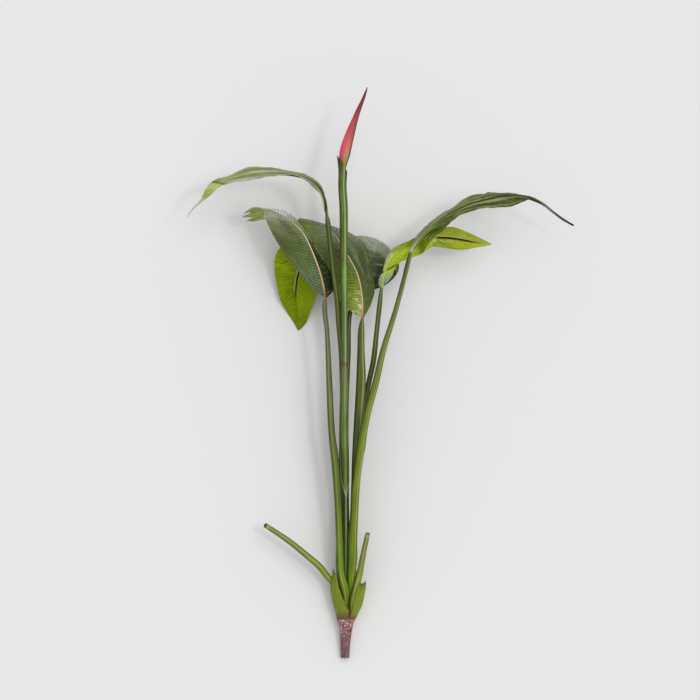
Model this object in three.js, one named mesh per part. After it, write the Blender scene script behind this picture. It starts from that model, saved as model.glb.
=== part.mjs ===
// A cut bird of paradise stem, lying on a flat surface: seven leaves, two cut leaf stalks,
// two clasping sheaths and one closed flower bud on its stalk, all growing from a woody stub.
// Millimetres. +Y runs from the cut end to the bud, +X is the right side seen from above, +Z is up.
// Places are measured from the middle of the cut end, on the surface that the stem lies on.

import * as THREE from 'three';

// Driving dimensions
const STEM_LENGTH = 1000;
const BLADE = 0.8;              // thickness of a leaf blade
const BLADE_ARCH = 0.07;        // how far a half blade bulges, as a share of its width
const RIB_HEIGHT = 1.15;        // how far the midrib stands out, in midrib radii
const RIB_END = 0.55;           // radius of a midrib at the tip of its leaf
const CELLS = 2;                // strips between the midrib and an edge
const STEPS = 2;                // rings for each row of a leaf
const STALK_SIDES = 14;
const BUD_FLATNESS = 0.62;      // depth of the bud over its width
const CUT_WALL = 0.7;           // inner radius of a cut stalk's hollow, as a share of its radius
const CUT_DEPTH = 14;
const SHEATH_GAP = 0.35;        // between the flower stalk and the sheaths round it
const SHEATH_WALL = 1.8;        // clasping sheath at its foot
const SHEATH_LIP = 1.1;         // and at its rim

const UP = new THREE.Vector3(0, 0, 1);

// Each stalk is a list of [x, y, height, half width, half depth], from its foot up.
// A missing half depth means a round stalk.
// Each leaf row is [midrib, left edge, right edge], from the foot of the blade to its tip.
const LEAVES = {
  leaf_top_left: {
    color: 0x9aa97c,
    ribRadius: 2.2,
    ribFaces: -1,
    stalk: [
      [-6.5, 76, 15.7, 3], [-9, 105, 19.3, 3.6], [-9.5, 125, 24, 4.2], [-11.5, 175, 30.5, 4.9],
      [-6, 259.5, 37.5, 4.7], [-4, 314.5, 46.5, 4.7], [-4, 384.5, 58.5, 4.7], [-4, 432, 66, 4.6],
      [-5, 486.5, 72, 4.6], [-7, 540.5, 79, 4.5], [-11, 586, 88, 4.5], [-14, 630, 97, 4.4],
      [-22, 689, 103.5, 4.3], [-27.5, 742, 107, 4.2], [-30.5, 771, 109, 4],
    ],
    rows: [
      [[-32, 781.5, 110], [-35, 781.5, 110], [-29.5, 781.5, 109]],
      [[-37, 806, 113], [-42.5, 812, 121], [-33, 808.5, 104]],
      [[-46, 826.5, 117], [-56.5, 826.5, 130], [-44, 832, 98]],
      [[-64.5, 840, 121], [-73, 841, 137], [-65.5, 847.5, 97]],
      [[-88, 847, 124], [-96.5, 847.5, 142], [-90, 854, 98]],
      [[-116.5, 848.5, 126], [-121, 845.5, 146], [-127.5, 860.5, 99]],
      [[-151.5, 846, 127], [-156.5, 839.5, 147], [-165, 862, 101]],
      [[-185.5, 841.5, 125], [-188.5, 834.5, 142], [-199, 848.5, 104]],
      [[-217, 833, 119], [-215, 827.5, 132], [-229.5, 837, 106]],
      [[-238, 817.5, 112], [-234, 812.5, 119], [-243, 822.5, 106]],
      [[-251.5, 802, 106], [-250, 800.5, 107], [-253.5, 803.5, 105]],
      [[-265, 790, 100], [-264, 789, 100], [-266, 791, 100]],
      [[-276.5, 774, 94], [-275.5, 773.5, 94], [-277, 774.5, 94]],
    ],
  },
  leaf_front_left: {
    color: 0x55653f,
    ribRadius: 3.2,
    ribFaces: 1,
    stalk: [
      [0.3, 76, 29.5, 3.2, 3], [1.5, 105, 36.5, 4.6, 4.2], [0.9, 120, 40, 7.6, 4.6],
      [-2.5, 133, 42.5, 7.4, 5], [-6.5, 148, 44, 6.8, 5.4], [-8, 175, 46.5, 6.4, 6],
      [-9.5, 207.5, 53, 6.4], [-11.5, 260, 61, 6.4], [-14.5, 314.5, 68.5, 6.8],
      [-17.5, 350, 72.5, 6.8], [-22, 385, 76, 6.2], [-27.5, 486.5, 84, 5.3],
      [-31.5, 575.5, 92, 4], [-35.5, 623, 97, 3.6],
    ],
    rows: [
      [[-34.5, 634, 98], [-37.5, 636, 98], [-31, 634.5, 98]],
      [[-37, 651.5, 100], [-56, 646.5, 96], [-20.5, 646.5, 91]],
      [[-43, 677, 102], [-78, 675.5, 94], [-20, 669, 88]],
      [[-51.5, 701, 104], [-97.5, 700.5, 93], [-31.5, 689.5, 90]],
      [[-61, 724, 105], [-115, 725.5, 92], [-45, 711, 92]],
      [[-74, 748, 105], [-128, 747.5, 91], [-63, 738.5, 94]],
      [[-91.5, 765, 103], [-135.5, 762.5, 89], [-83.5, 769, 92]],
      [[-114.5, 779, 99], [-139, 770.5, 86], [-101.5, 784.5, 88]],
      [[-139, 787, 93], [-143.5, 771, 82], [-131, 790, 86]],
      [[-151, 785, 88], [-149.5, 770, 78], [-156, 792.5, 84]],
      [[-165.5, 781, 80], [-161, 767.5, 72], [-169, 788.5, 78]],
      [[-179.5, 776, 72], [-174.5, 767.5, 67], [-184, 780.5, 70]],
    ],
  },
  leaf_back_left: {
    color: 0x7e960a,
    ribRadius: 2.6,
    ribFaces: -1,
    stalk: [
      [-1.4, 76, 11.3, 3], [-4.5, 105, 13.5, 3.6], [-5.5, 125, 15.5, 4], [-7, 175, 20.5, 4.7],
      [-7.5, 259.5, 27.5, 4.6], [-7, 314, 32, 4.6], [-6, 384.5, 39, 4.5], [-5.5, 432, 44, 4.5],
      [-3.5, 486.5, 50, 4.4], [-3.5, 540.5, 55, 4.3], [-5.5, 586.5, 58.5, 4.2],
      [-9.5, 630, 60, 4.2], [-18.5, 674, 60, 4.1], [-32.5, 709, 58, 4], [-47.5, 726.5, 54, 3.8],
    ],
    rows: [
      [[-57, 730, 50], [-58, 726.5, 50], [-55.5, 733.5, 50]],
      [[-67.5, 723.5, 46], [-52.5, 707.5, 52], [-85, 730.5, 50]],
      [[-75, 708.5, 40], [-45.5, 683, 46], [-104.5, 729.5, 46]],
      [[-80, 686, 30], [-45, 661, 38], [-121.5, 710, 39]],
      [[-85, 663, 19], [-47.5, 645.5, 29], [-124, 684, 30]],
      [[-87, 641, 10], [-53, 628, 20], [-120, 657, 20]],
      [[-86, 619, 4], [-59.5, 613, 12], [-113.5, 630, 12]],
      [[-84.5, 598, -0.2], [-67.5, 592.5, 3], [-100.5, 606, 2]],
      [[-83, 583.5, -0.2], [-75.5, 582, -0.2], [-88, 586, -0.2]],
      [[-82.5, 577, -0.2], [-81, 577, -0.2], [-84, 578, -0.2]],
    ],
  },
  leaf_front_centre: {
    color: 0x52673a,
    ribRadius: 3.2,
    ribFaces: 1,
    stalk: [
      [13.3, 76, 21, 3], [16.5, 105, 24.5, 3.8], [17.5, 125, 27, 4.4], [12.5, 175, 32, 5.5],
      [15, 259.5, 43.5, 5.8], [17.5, 314.5, 54, 6.4], [19, 349.5, 60, 7], [21, 385, 66, 7.4, 7],
      [24.5, 432, 73, 8.2, 6.6], [28, 486.5, 79, 8.6, 6.4], [28, 541, 84, 6.4, 5.8],
      [29, 586, 87, 4.6],
    ],
    rows: [
      [[30.5, 598.5, 88], [27.5, 600, 88], [33.5, 600, 88]],
      [[31, 619.5, 90], [9.5, 610, 85], [43.5, 617.5, 86]],
      [[28.5, 647.5, 90], [-9.5, 630, 81], [52, 647.5, 84]],
      [[21.5, 676.5, 88], [-23, 660.5, 78], [48, 675.5, 80]],
      [[9, 701, 83], [-33.5, 692.5, 73], [42.5, 702, 75]],
      [[-6.5, 727.5, 76], [-49, 719.5, 66], [32.5, 730, 68]],
      [[-23.5, 749.5, 67], [-64, 742, 58], [9.5, 748, 61]],
      [[-45.5, 760.5, 59], [-75, 757.5, 51], [-26.5, 761, 55]],
      [[-67.5, 766, 52], [-83.5, 764.5, 46], [-63, 769.5, 50]],
      [[-88, 768, 46], [-90.5, 765.5, 45], [-85, 772, 46]],
    ],
  },
  leaf_back_right: {
    color: 0x5e6b54,
    ribRadius: 3,
    ribFaces: -1,
    stalk: [
      [5.7, 76, 11, 3], [4.5, 105, 14, 3.6], [4.5, 125, 16, 4], [4, 175, 21, 4.7],
      [2.5, 259.5, 29, 4.7], [2, 314, 36, 4.6], [1, 384.5, 46, 4.5], [2, 432, 52.5, 4.5],
      [3.5, 486.5, 58, 4.5], [6, 540.5, 62.5, 4.4], [7.5, 598.5, 65, 4.2], [11, 618, 66, 4],
    ],
    rows: [
      [[13.5, 630, 66], [10.5, 631, 66], [17, 629.5, 66]],
      [[22, 648.5, 67], [1.5, 654, 62], [42, 645, 62]],
      [[33.5, 671.5, 66], [-1, 683.5, 58], [69.5, 655.5, 56]],
      [[44, 694, 62], [1.5, 711, 53], [90, 674.5, 50]],
      [[53, 714.5, 54], [9.5, 731, 46], [94.5, 694.5, 44]],
      [[58.5, 729.5, 42], [21, 743.5, 37], [85.5, 713.5, 36]],
      [[61.5, 734, 27], [32.5, 742, 25], [77.5, 721, 26]],
      [[62.5, 729, 12], [42, 733.5, 12], [74.5, 718.5, 14]],
      [[65, 717, 0.4], [53, 721.5, 2], [74, 710, 3]],
      [[70, 702, -0.1], [66, 703.5, -0.1], [73, 700.5, -0.1]],
    ],
  },
  leaf_right: {
    color: 0x92ad1c,
    ribRadius: 2.6,
    ribFaces: -1,
    stalk: [
      [11.6, 76, 14.3, 3], [12.5, 105, 15.5, 3.6], [13.5, 125, 17, 4], [15, 175, 20, 4.7],
      [15, 259.5, 29, 4.7], [17.5, 314, 36, 4.7], [25.5, 384.5, 48, 4.8], [32.5, 432, 56, 4.8],
      [42, 486.5, 66, 4.8], [49.5, 521.5, 74, 4.9], [55.5, 576, 80, 4.3], [61.5, 630, 86, 4],
    ],
    rows: [
      [[64, 653.5, 88], [60.5, 653.5, 88], [67.5, 654.5, 88]],
      [[67, 669, 92], [58.5, 664, 88], [78.5, 666.5, 85]],
      [[72.5, 686.5, 96], [66, 682.5, 91], [87.5, 684, 86]],
      [[84, 704, 99], [72, 704.5, 94], [95.5, 694.5, 90]],
      [[102, 717, 102], [86.5, 722, 96], [112, 702.5, 94]],
      [[125.5, 726.5, 104], [117, 735.5, 97], [130, 709, 97]],
      [[147.5, 735, 105], [152, 754, 101], [145, 718, 100]],
      [[162, 740.5, 102], [178, 760, 99], [151, 723, 99]],
      [[161, 739.5, 94], [173, 757.5, 92], [152, 723.5, 92]],
      [[178.5, 738.5, 90], [188, 758, 87], [174, 721, 88]],
      [[202.5, 735.5, 87], [212.5, 749.5, 83], [204, 717.5, 83]],
      [[226.5, 731, 83], [235.5, 739, 80], [231, 722, 79]],
      [[256, 727.5, 77], [255.5, 729, 77], [255, 726, 77]],
    ],
  },
  leaf_top_right: {
    color: 0x6d7a4c,
    ribRadius: 2.4,
    ribFaces: -1,
    stalk: [
      [6.4, 76, 21, 3], [7, 105, 27.3, 4.2], [8.9, 125, 32, 4.8], [9.8, 135, 36, 6.2, 5.2],
      [11, 150, 41, 7, 5.8], [13.3, 175, 45.5, 8.2, 6.2], [13.5, 207.5, 50.5, 8.2, 6.6],
      [16.5, 260, 58.5, 7.2], [20, 314.5, 68, 7.2], [25, 350, 75.5, 7], [29.5, 385, 82, 6.6],
      [39.5, 432.5, 90, 6.2], [54, 486.5, 96, 6], [66.5, 541, 101, 5.4], [88, 610.5, 107, 4.4],
      [102.5, 664.5, 111, 4], [112, 703, 114.5, 3.7],
    ],
    rows: [
      [[116, 717, 115], [113, 718, 115], [119, 716, 115]],
      [[129, 735, 118], [124.5, 740, 112], [133, 732.5, 124]],
      [[146.5, 754.5, 121], [144, 761.5, 104], [153, 751.5, 133]],
      [[166.5, 770, 123], [166, 779, 100], [176, 758, 139]],
      [[191.5, 785.5, 125], [194, 795.5, 100], [199, 775.5, 142]],
      [[218.5, 797.5, 126], [216.5, 811, 101], [228.5, 786.5, 144]],
      [[248.5, 805.5, 125], [247, 816.5, 103], [260, 790, 142]],
      [[277, 812.5, 122], [279.5, 817, 105], [291.5, 793, 135]],
      [[303.5, 812, 118], [305.5, 814, 109], [311, 801.5, 125]],
      [[326, 806.5, 113], [327.5, 809, 110], [326.5, 805, 116]],
      [[346.5, 796.5, 108], [348, 798.5, 107], [345, 795, 109]],
      [[364, 783, 103], [365.5, 784.5, 103], [362.5, 781.5, 104]],
      [[383.5, 769, 98], [385, 770.5, 98], [382, 767.5, 98]],
      [[399.5, 760, 94], [400, 761, 94], [399, 759.5, 94]],
    ],
  },
};

const FLOWER_STALK = [
  [-0.3, 76, 19.5, 3], [-2, 105, 25.5, 4.2], [-1, 125, 28.5, 4.8], [0.5, 175, 34, 5.6],
  [0.5, 207, 39.5, 5.8], [0, 260, 49, 6.2], [0, 314.5, 59, 5.9], [-0.5, 349.5, 66, 5.6],
  [-2, 385, 73, 5.5], [-1.5, 432.5, 81.5, 5.3], [-1, 486.5, 88.5, 5.2], [-0.5, 521.5, 92, 5],
  [-1, 586, 99, 5.5], [-1, 630, 103, 5.5], [-1.5, 682, 107, 5.3], [-2, 743, 113, 5.1],
  [-2.5, 795.5, 117.5, 5], [-4.5, 832, 120.5, 4.6], [-4, 844, 121.5, 4.2],
];
const FLOWER_BUD = [
  [-4, 844.05, 121.504, 4.2], [-3.5, 856.05, 122.504, 4.7], [-2.7, 865, 123.3, 5.8],
  [-2, 873.5, 124, 7.8], [-0.5, 884, 125, 9.6],
  [1.5, 893.5, 126, 9.6], [6, 910, 127, 8.7], [11.5, 927.5, 128, 7.5], [17, 945, 129, 5.8],
  [23, 961.5, 130, 4.3], [29.5, 976, 131, 2.9], [35, 989, 132, 1.5], [39, STEM_LENGTH, 133, 0.6],
];
const CUT_STALK_LEFT = [
  [-7.1, 76, 22, 3], [-12.5, 105, 27, 4.1], [-17.5, 125, 29.5, 4.6], [-24.5, 137, 31, 5.2],
  [-31, 144.5, 32.5, 5.5], [-43, 160, 36, 5.8], [-66, 180.5, 40.5, 5.6], [-100, 208, 44, 5],
  [-139.5, 234.5, 45, 4.3],
];
const CUT_STALK_RIGHT = [
  [9, 76, 27, 3], [14, 105, 35.5, 5], [18, 121, 37.5, 5.4], [22.5, 137, 41.5, 5.8],
  [29, 168.5, 51.5, 5.2], [35, 198.5, 57, 4.5], [39.5, 219.5, 60, 4.3],
];
const BASE_STUB = [
  [0.2, 0, 6.8, 7.7, 7.7], [0.2, 6, 7, 7.8, 7.8], [1, 37, 13.2, 9.8, 9.8],
  [1.7, 52.5, 15.6, 11.6, 11.6], [1.7, 60, 16.8, 13, 13], [1.7, 68, 18.3, 16, 14.8],
  [2.8, 73.2, 19, 17, 15.4],
];

// The cup that the clasping sheaths are part of: [y, middle x, middle height, half width, half depth]
const CUP = [
  [73.5, 2.8, 19, 16.8, 15.5], [82, 3.8, 20.5, 21.3, 17.5], [92, 4.8, 22.3, 25.2, 19],
  [105, 4.9, 24.5, 28.3, 21], [125, 5.2, 27.5, 31.8, 22.5], [134, 5.4, 29, 32.6, 23],
  [152, 5.6, 31.5, 33, 23.5],
];
// Where each clasping sheath starts and ends round the cup, in degrees from the right side over
// the front, as [y, front edge, back edge], and how high its rim stands, as [angle, y]
const OUTER_SHEATHS = {
  outer_sheath_left: {
    edges: [[73.5, 81, 272], [82, 86, 270], [96, 97, 262], [106, 109, 254], [123, 120, 243], [150, 131, 228]],
    rim: [[81, 151], [131, 151], [149, 148], [158, 128], [185, 124], [240, 118], [272, 112]],
  },
  outer_sheath_right: {
    edges: [[73.5, 66, -70], [96, 67, -66], [117, 60, -60], [134, 52, -54]],
    rim: [[-70, 112], [-40, 124], [0, 133], [40, 132.5], [68, 132.5]],
  },
};

// Radius outside of each sheath that wraps the flower stalk, as [y, radius], and its slanted ends
const FLOWER_SHEATHS = {
  flower_sheath_lower: {
    color: 0x5f7a3c,
    radius: [[262, 7], [280, 7.2], [314, 7.1], [350, 7.7], [385, 8.4], [432, 8], [486, 7.1], [524, 6.1]],
    flare: 0,
    foot: { left: 311, right: 294, front: -19 },
    mouth: { left: 523, right: 519, front: 0 },
  },
  flower_sheath_upper: {
    color: 0x5c8038,
    radius: [[690, 6.4], [705, 6.9], [743, 7.3], [795, 7.5], [832, 7.4], [850, 7.7], [866, 8.4], [884, 9.6]],
    flare: 1.3,
    foot: { left: 708, right: 692, front: 0 },
    mouth: { left: 881, right: 853, front: 0 },
  },
};

// A smooth value along a table of rows, each a knot followed by its values
function along(rows, knot) {
  let i = 0;
  while (i < rows.length - 2 && knot > rows[i + 1][0]) {
    i += 1;
  }
  const share = THREE.MathUtils.clamp((knot - rows[i][0]) / (rows[i + 1][0] - rows[i][0]), 0, 1);
  return rows[i].slice(1).map((value, k) => value + (rows[i + 1][k + 1] - value) * share);
}

// A smooth curve through lists of numbers, spaced by the length of their first three
function smooth(points) {
  const knots = [0];
  for (let i = 1; i < points.length; i += 1) {
    const [a, b] = [points[i - 1], points[i]];
    knots.push(knots[i - 1] + Math.hypot(b[0] - a[0], b[1] - a[1], b[2] - a[2]));
  }
  const slope = (i, k) => (points[i + 1][k] - points[i][k]) / (knots[i + 1] - knots[i]);
  const last = points.length - 1;
  const tangent = (i, k) => {
    if (i === 0) return slope(0, k);
    if (i === last) return slope(last - 1, k);
    const before = knots[i] - knots[i - 1];
    const after = knots[i + 1] - knots[i];
    return (slope(i - 1, k) * after + slope(i, k) * before) / (before + after);
  };
  return (place) => {
    const i = Math.min(Math.floor(place), last - 1);
    const t = place - i;
    const span = knots[i + 1] - knots[i];
    return points[i].map((value, k) => {
      const end = points[i + 1][k];
      const rise = tangent(i, k) * span;
      const fall = tangent(i + 1, k) * span;
      const a = (2 * t - 3) * t * t + 1;
      const b = ((t - 2) * t + 1) * t;
      const c = (3 - 2 * t) * t * t;
      const d = (t - 1) * t * t;
      return a * value + b * rise + c * end + d * fall;
    });
  };
}

// Points round an ellipse, from the left side over the front to the right and back underneath
function ellipse(centre, side, front, halfWidth, halfDepth, count) {
  return Array.from({ length: count }, (_, k) => {
    const angle = Math.PI - ((k + 0.5) * 2 * Math.PI) / count;
    return centre.clone()
      .addScaledVector(side, halfWidth * Math.cos(angle))
      .addScaledVector(front, halfDepth * Math.sin(angle));
  });
}

// The frame of a stalk that runs along the given direction
function frameFor(direction) {
  const side = direction.clone().cross(UP).normalize();
  return { side, front: side.clone().cross(direction).normalize() };
}

function direction(from, to) {
  return to.clone().sub(from).normalize();
}

// The rings of a stalk given by its list of places and half widths
function stalkRings(places, count, level = false) {
  const centres = places.map((place) => new THREE.Vector3(place[0], place[1], place[2]));
  return centres.map((centre, i) => {
    const before = centres[Math.max(i - 1, 0)];
    const after = centres[Math.min(i + 1, centres.length - 1)];
    const frame = level
      ? { side: new THREE.Vector3(1, 0, 0), front: UP }
      : frameFor(direction(before, after));
    const [halfWidth, halfDepth = halfWidth] = places[i].slice(3);
    return ellipse(centre, frame.side, frame.front, halfWidth, halfDepth, count);
  });
}

// One ring of a leaf: over the upper face from the left edge to the right, and back under it
function bladeRing(rib, left, right, heading, ribRadius, ribFaces) {
  const half = BLADE / 2;
  const halves = [left, right].map((edge, k) => {
    const across = edge.clone().sub(rib);
    const normal = k === 0 ? heading.clone().cross(across) : across.clone().cross(heading);
    normal.normalize();
    const width = across.length();
    const shoulder = Math.min(ribRadius / width, 0.4);
    return Array.from({ length: CELLS + 1 }, (_, i) => {
      const share = 1 - ((1 - shoulder) * i) / CELLS;
      const bulge = BLADE_ARCH * width * 4 * share * (1 - share);
      const place = rib.clone().addScaledVector(across, share).addScaledVector(normal, bulge);
      return { place, normal };
    });
  });
  const ribNormal = halves[0][0].normal.clone().add(halves[1][0].normal).normalize();
  const crest = half + RIB_HEIGHT * ribRadius;
  const groove = half - 0.25 * ribRadius;
  const offsets = ribFaces > 0 ? [crest, half] : [groove, crest];
  const face = (sign, middle) => [
    ...halves[0].map(({ place, normal }) => place.clone().addScaledVector(normal, sign * half)),
    rib.clone().addScaledVector(ribNormal, sign * middle),
    ...halves[1].map(({ place, normal }) => place.clone().addScaledVector(normal, sign * half)).reverse(),
  ];
  const upper = face(1, offsets[0]).map((p) => p.setZ(Math.max(p.z, BLADE)));
  const lower = face(-1, offsets[1]).map((p) => p.setZ(Math.max(p.z, 0)));
  return [...upper, ...lower.reverse()];
}

// All rings of a leaf, from the foot of its stalk to the tip of its blade
function leafRings({ stalk, rows, ribRadius, ribFaces }) {
  const row = smooth(rows.map((points) => points.flat()));
  const count = 2 * (2 * CELLS + 3);
  const last = rows.length - 1;
  const rings = stalkRings(stalk, count);
  const ribAt = (place) => new THREE.Vector3(...row(THREE.MathUtils.clamp(place, 0, last)).slice(0, 3));
  for (let step = 0; step <= last * STEPS; step += 1) {
    const place = step / STEPS;
    const values = row(place);
    const heading = direction(ribAt(place - 0.25), ribAt(place + 0.25));
    const left = new THREE.Vector3(...values.slice(3, 6));
    const right = new THREE.Vector3(...values.slice(6, 9));
    const radius = RIB_END + (ribRadius - RIB_END) * (1 - place / last);
    rings.push(bladeRing(ribAt(place), left, right, heading, radius, ribFaces));
  }
  return rings;
}

// A closed mesh from points and triangles, turned so that its faces point outwards
function solid(points, triangles) {
  let volume = 0;
  for (const [a, b, c] of triangles) {
    volume += points[a].dot(points[b].clone().cross(points[c]));
  }
  const faces = volume > 0 ? triangles : triangles.map(([a, b, c]) => [a, c, b]);
  const geometry = new THREE.BufferGeometry();
  geometry.setAttribute('position', new THREE.Float32BufferAttribute(points.flatMap((p) => p.toArray()), 3));
  geometry.setIndex(faces.flat());
  geometry.computeVertexNormals();
  return geometry;
}

function quad(a, b, c, d, turned = false) {
  return turned ? [[a, b, d], [b, c, d]] : [[a, b, c], [a, c, d]];
}

// A skin over rings of equal count, closed at both ends. The upper and lower halves of each ring
// are split alike, so the two faces of a thin blade never cross.
function skin(rings) {
  const count = rings[0].length;
  const points = rings.flat();
  const triangles = [];
  for (let j = 0; j < rings.length - 1; j += 1) {
    for (let k = 0; k < count; k += 1) {
      const next = (k + 1) % count;
      const [a, b] = [j * count + k, j * count + next];
      triangles.push(...quad(a, b, b + count, a + count, k >= count / 2));
    }
  }
  for (const j of [0, rings.length - 1]) {
    const middle = new THREE.Vector3();
    rings[j].forEach((p) => middle.addScaledVector(p, 1 / count));
    const hub = points.push(middle) - 1;
    for (let k = 0; k < count; k += 1) {
      const [a, b] = [j * count + k, j * count + ((k + 1) % count)];
      triangles.push(j === 0 ? [b, a, hub] : [a, b, hub]);
    }
  }
  return solid(points, triangles);
}

// A wall between two grids of points, open like a tube when round, closed along its edges
function wall(outer, inner, round) {
  const rows = outer.length;
  const count = outer[0].length;
  const points = [...outer.flat(), ...inner.flat()];
  const at = (face, j, k) => face * rows * count + j * count + (k % count);
  const triangles = [];
  const across = round ? count : count - 1;
  for (let j = 0; j < rows - 1; j += 1) {
    for (let k = 0; k < across; k += 1) {
      triangles.push(...quad(at(0, j, k), at(0, j, k + 1), at(0, j + 1, k + 1), at(0, j + 1, k)));
      triangles.push(...quad(at(1, j, k), at(1, j + 1, k), at(1, j + 1, k + 1), at(1, j, k + 1), true));
    }
  }
  for (let k = 0; k < across; k += 1) {
    triangles.push(...quad(at(0, 0, k + 1), at(0, 0, k), at(1, 0, k), at(1, 0, k + 1)));
    const top = rows - 1;
    triangles.push(...quad(at(0, top, k), at(0, top, k + 1), at(1, top, k + 1), at(1, top, k)));
  }
  for (let j = 0; j < rows - 1 && !round; j += 1) {
    const end = count - 1;
    triangles.push(...quad(at(0, j, 0), at(0, j + 1, 0), at(1, j + 1, 0), at(1, j, 0)));
    triangles.push(...quad(at(0, j + 1, end), at(0, j, end), at(1, j, end), at(1, j + 1, end)));
  }
  return solid(points, triangles);
}

// A stalk that was cut, with the hollow that shows in its cut end
function cutStalk(places) {
  const rings = stalkRings(places, STALK_SIDES);
  const [end, before] = [places.at(-1), places.at(-2)].map((p) => new THREE.Vector3(...p.slice(0, 3)));
  const heading = direction(before, end);
  const { side, front } = frameFor(heading);
  const radius = places.at(-1)[3] * CUT_WALL;
  const floor = end.clone().addScaledVector(heading, -CUT_DEPTH);
  rings.push(ellipse(end, side, front, radius, radius, STALK_SIDES));
  rings.push(ellipse(floor, side, front, radius, radius, STALK_SIDES));
  return skin(rings);
}

// A sheath that clasps the foot of the leaves: part of the cup, with a shaped rim
function outerSheath({ edges, rim }) {
  const [around, upward] = [14, 8];
  const foot = CUP[0][0];
  const faces = [[], []];
  for (let j = 0; j <= upward; j += 1) {
    const rows = [[], []];
    for (let k = 0; k <= around; k += 1) {
      const share = k / around;
      let y = foot;
      let angle = 0;
      for (let pass = 0; pass < 6; pass += 1) {
        const [front, back] = along(edges, y);
        angle = front + (back - front) * share;
        y = foot + ((along(rim, angle)[0] - foot) * j) / upward;
      }
      const [x, z, halfWidth, halfDepth] = along(CUP, y);
      const thickness = SHEATH_WALL + ((SHEATH_LIP - SHEATH_WALL) * j) / upward;
      const turn = THREE.MathUtils.degToRad(angle);
      [0, thickness].forEach((inset, face) => {
        const across = (halfWidth - inset) * Math.cos(turn);
        const up = (halfDepth - inset) * Math.sin(turn);
        rows[face].push(new THREE.Vector3(x + across, y, z + up));
      });
    }
    rows.forEach((row, face) => faces[face].push(row));
  }
  return wall(faces[0], faces[1], false);
}

// A sheath that wraps the flower stalk, with slanted ends
function flowerSheath({ radius, foot, mouth, flare }) {
  const sections = 14;
  const stalk = smooth(FLOWER_STALK);
  const last = FLOWER_STALK.length - 1;
  const samples = Array.from({ length: last * 8 + 1 }, (_, i) => stalk(i / 8));
  samples.push([-3.5, 860, 123, 4.2], [-3.5, 900, 126, 4.2]);
  const core = samples.map((row) => [row[1], row[0], row[2], row[3]]);
  const endAt = (end, cosine, sine) => {
    const middle = (end.left + end.right) / 2;
    return middle + ((end.right - end.left) / 2) * cosine + end.front * Math.max(sine, 0);
  };
  const faces = [[], []];
  for (let j = 0; j <= sections; j += 1) {
    const rows = [[], []];
    for (let k = 0; k < STALK_SIDES; k += 1) {
      const angle = Math.PI - ((k + 0.5) * 2 * Math.PI) / STALK_SIDES;
      const [cosine, sine] = [Math.cos(angle), Math.sin(angle)];
      const low = endAt(foot, cosine, sine);
      const y = low + ((endAt(mouth, cosine, sine) - low) * j) / sections;
      const [x, z, coreRadius] = along(core, y);
      const outer = along(radius, y)[0];
      const spread = flare * Math.max(0, (y - mouth.right) / (mouth.left - mouth.right));
      const innermost = Math.max(coreRadius + SHEATH_GAP, outer - 1.1);
      [outer, innermost].forEach((size, face) => {
        rows[face].push(new THREE.Vector3(x - spread + size * cosine, y, z + size * sine));
      });
    }
    rows.forEach((row, face) => faces[face].push(row));
  }
  return wall(faces[0], faces[1], true);
}

function piece(name, geometry, color, roughness) {
  const material = new THREE.MeshStandardMaterial({ color, roughness, metalness: 0 });
  const mesh = new THREE.Mesh(geometry, material);
  mesh.name = name;
  return mesh;
}

const plant = new THREE.Group();
for (const [name, leaf] of Object.entries(LEAVES)) {
  plant.add(piece(name, skin(leafRings(leaf)), leaf.color, 0.55));
}
for (const [name, sheath] of Object.entries(OUTER_SHEATHS)) {
  plant.add(piece(name, outerSheath(sheath), 0x6c8c2b, 0.5));
}
for (const [name, sheath] of Object.entries(FLOWER_SHEATHS)) {
  plant.add(piece(name, flowerSheath(sheath), sheath.color, 0.45));
}
plant.add(piece('flower_stalk', skin(stalkRings(FLOWER_STALK, STALK_SIDES)), 0x5a7a36, 0.45));
const budPlaces = FLOWER_BUD.map(([x, y, z, half]) => [x, y, z, half, half * BUD_FLATNESS]);
plant.add(piece('flower_bud', skin(stalkRings(budPlaces, STALK_SIDES)), 0xcc4a68, 0.5));
plant.add(piece('cut_stalk_left', cutStalk(CUT_STALK_LEFT), 0x6f8a3e, 0.5));
plant.add(piece('cut_stalk_right', cutStalk(CUT_STALK_RIGHT), 0x6f8a3e, 0.5));
const stub = stalkRings(BASE_STUB, STALK_SIDES, true);
stub.flat().forEach((p) => p.setZ(Math.max(p.z, 0)));
plant.add(piece('base_stub', skin(stub), 0x8c6269, 0.7));

// The origin is the middle of the stem's bounding box, on the surface under it
const box = new THREE.Box3().setFromObject(plant);
const centre = box.getCenter(new THREE.Vector3());
plant.position.set(-centre.x, -centre.y, -box.min.z);

const flower = new THREE.Group();
flower.add(plant);

export default flower;
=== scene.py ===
"""A cut bird of paradise stem, lying on a pale surface and seen from straight above.

Seven leaves, two cut leaf stalks, two clasping sheaths and a closed bud grow from one stub.
The tables are in millimetres, measured from the middle of the cut end on the surface.
"""
import math
from bisect import bisect_left

import bmesh
import bpy
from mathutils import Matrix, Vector, noise


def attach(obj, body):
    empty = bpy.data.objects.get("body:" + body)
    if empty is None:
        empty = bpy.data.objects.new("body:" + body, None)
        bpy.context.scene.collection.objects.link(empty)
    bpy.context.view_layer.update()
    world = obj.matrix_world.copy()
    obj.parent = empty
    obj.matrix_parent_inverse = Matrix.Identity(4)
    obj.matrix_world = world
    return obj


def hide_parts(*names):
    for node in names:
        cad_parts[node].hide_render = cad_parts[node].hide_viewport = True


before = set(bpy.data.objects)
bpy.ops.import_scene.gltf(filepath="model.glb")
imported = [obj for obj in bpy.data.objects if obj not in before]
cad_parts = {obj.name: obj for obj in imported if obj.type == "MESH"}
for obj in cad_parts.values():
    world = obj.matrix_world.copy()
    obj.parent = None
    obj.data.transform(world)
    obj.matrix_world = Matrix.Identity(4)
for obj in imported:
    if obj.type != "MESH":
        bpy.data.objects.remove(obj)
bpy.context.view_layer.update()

MM = 0.001
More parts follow.
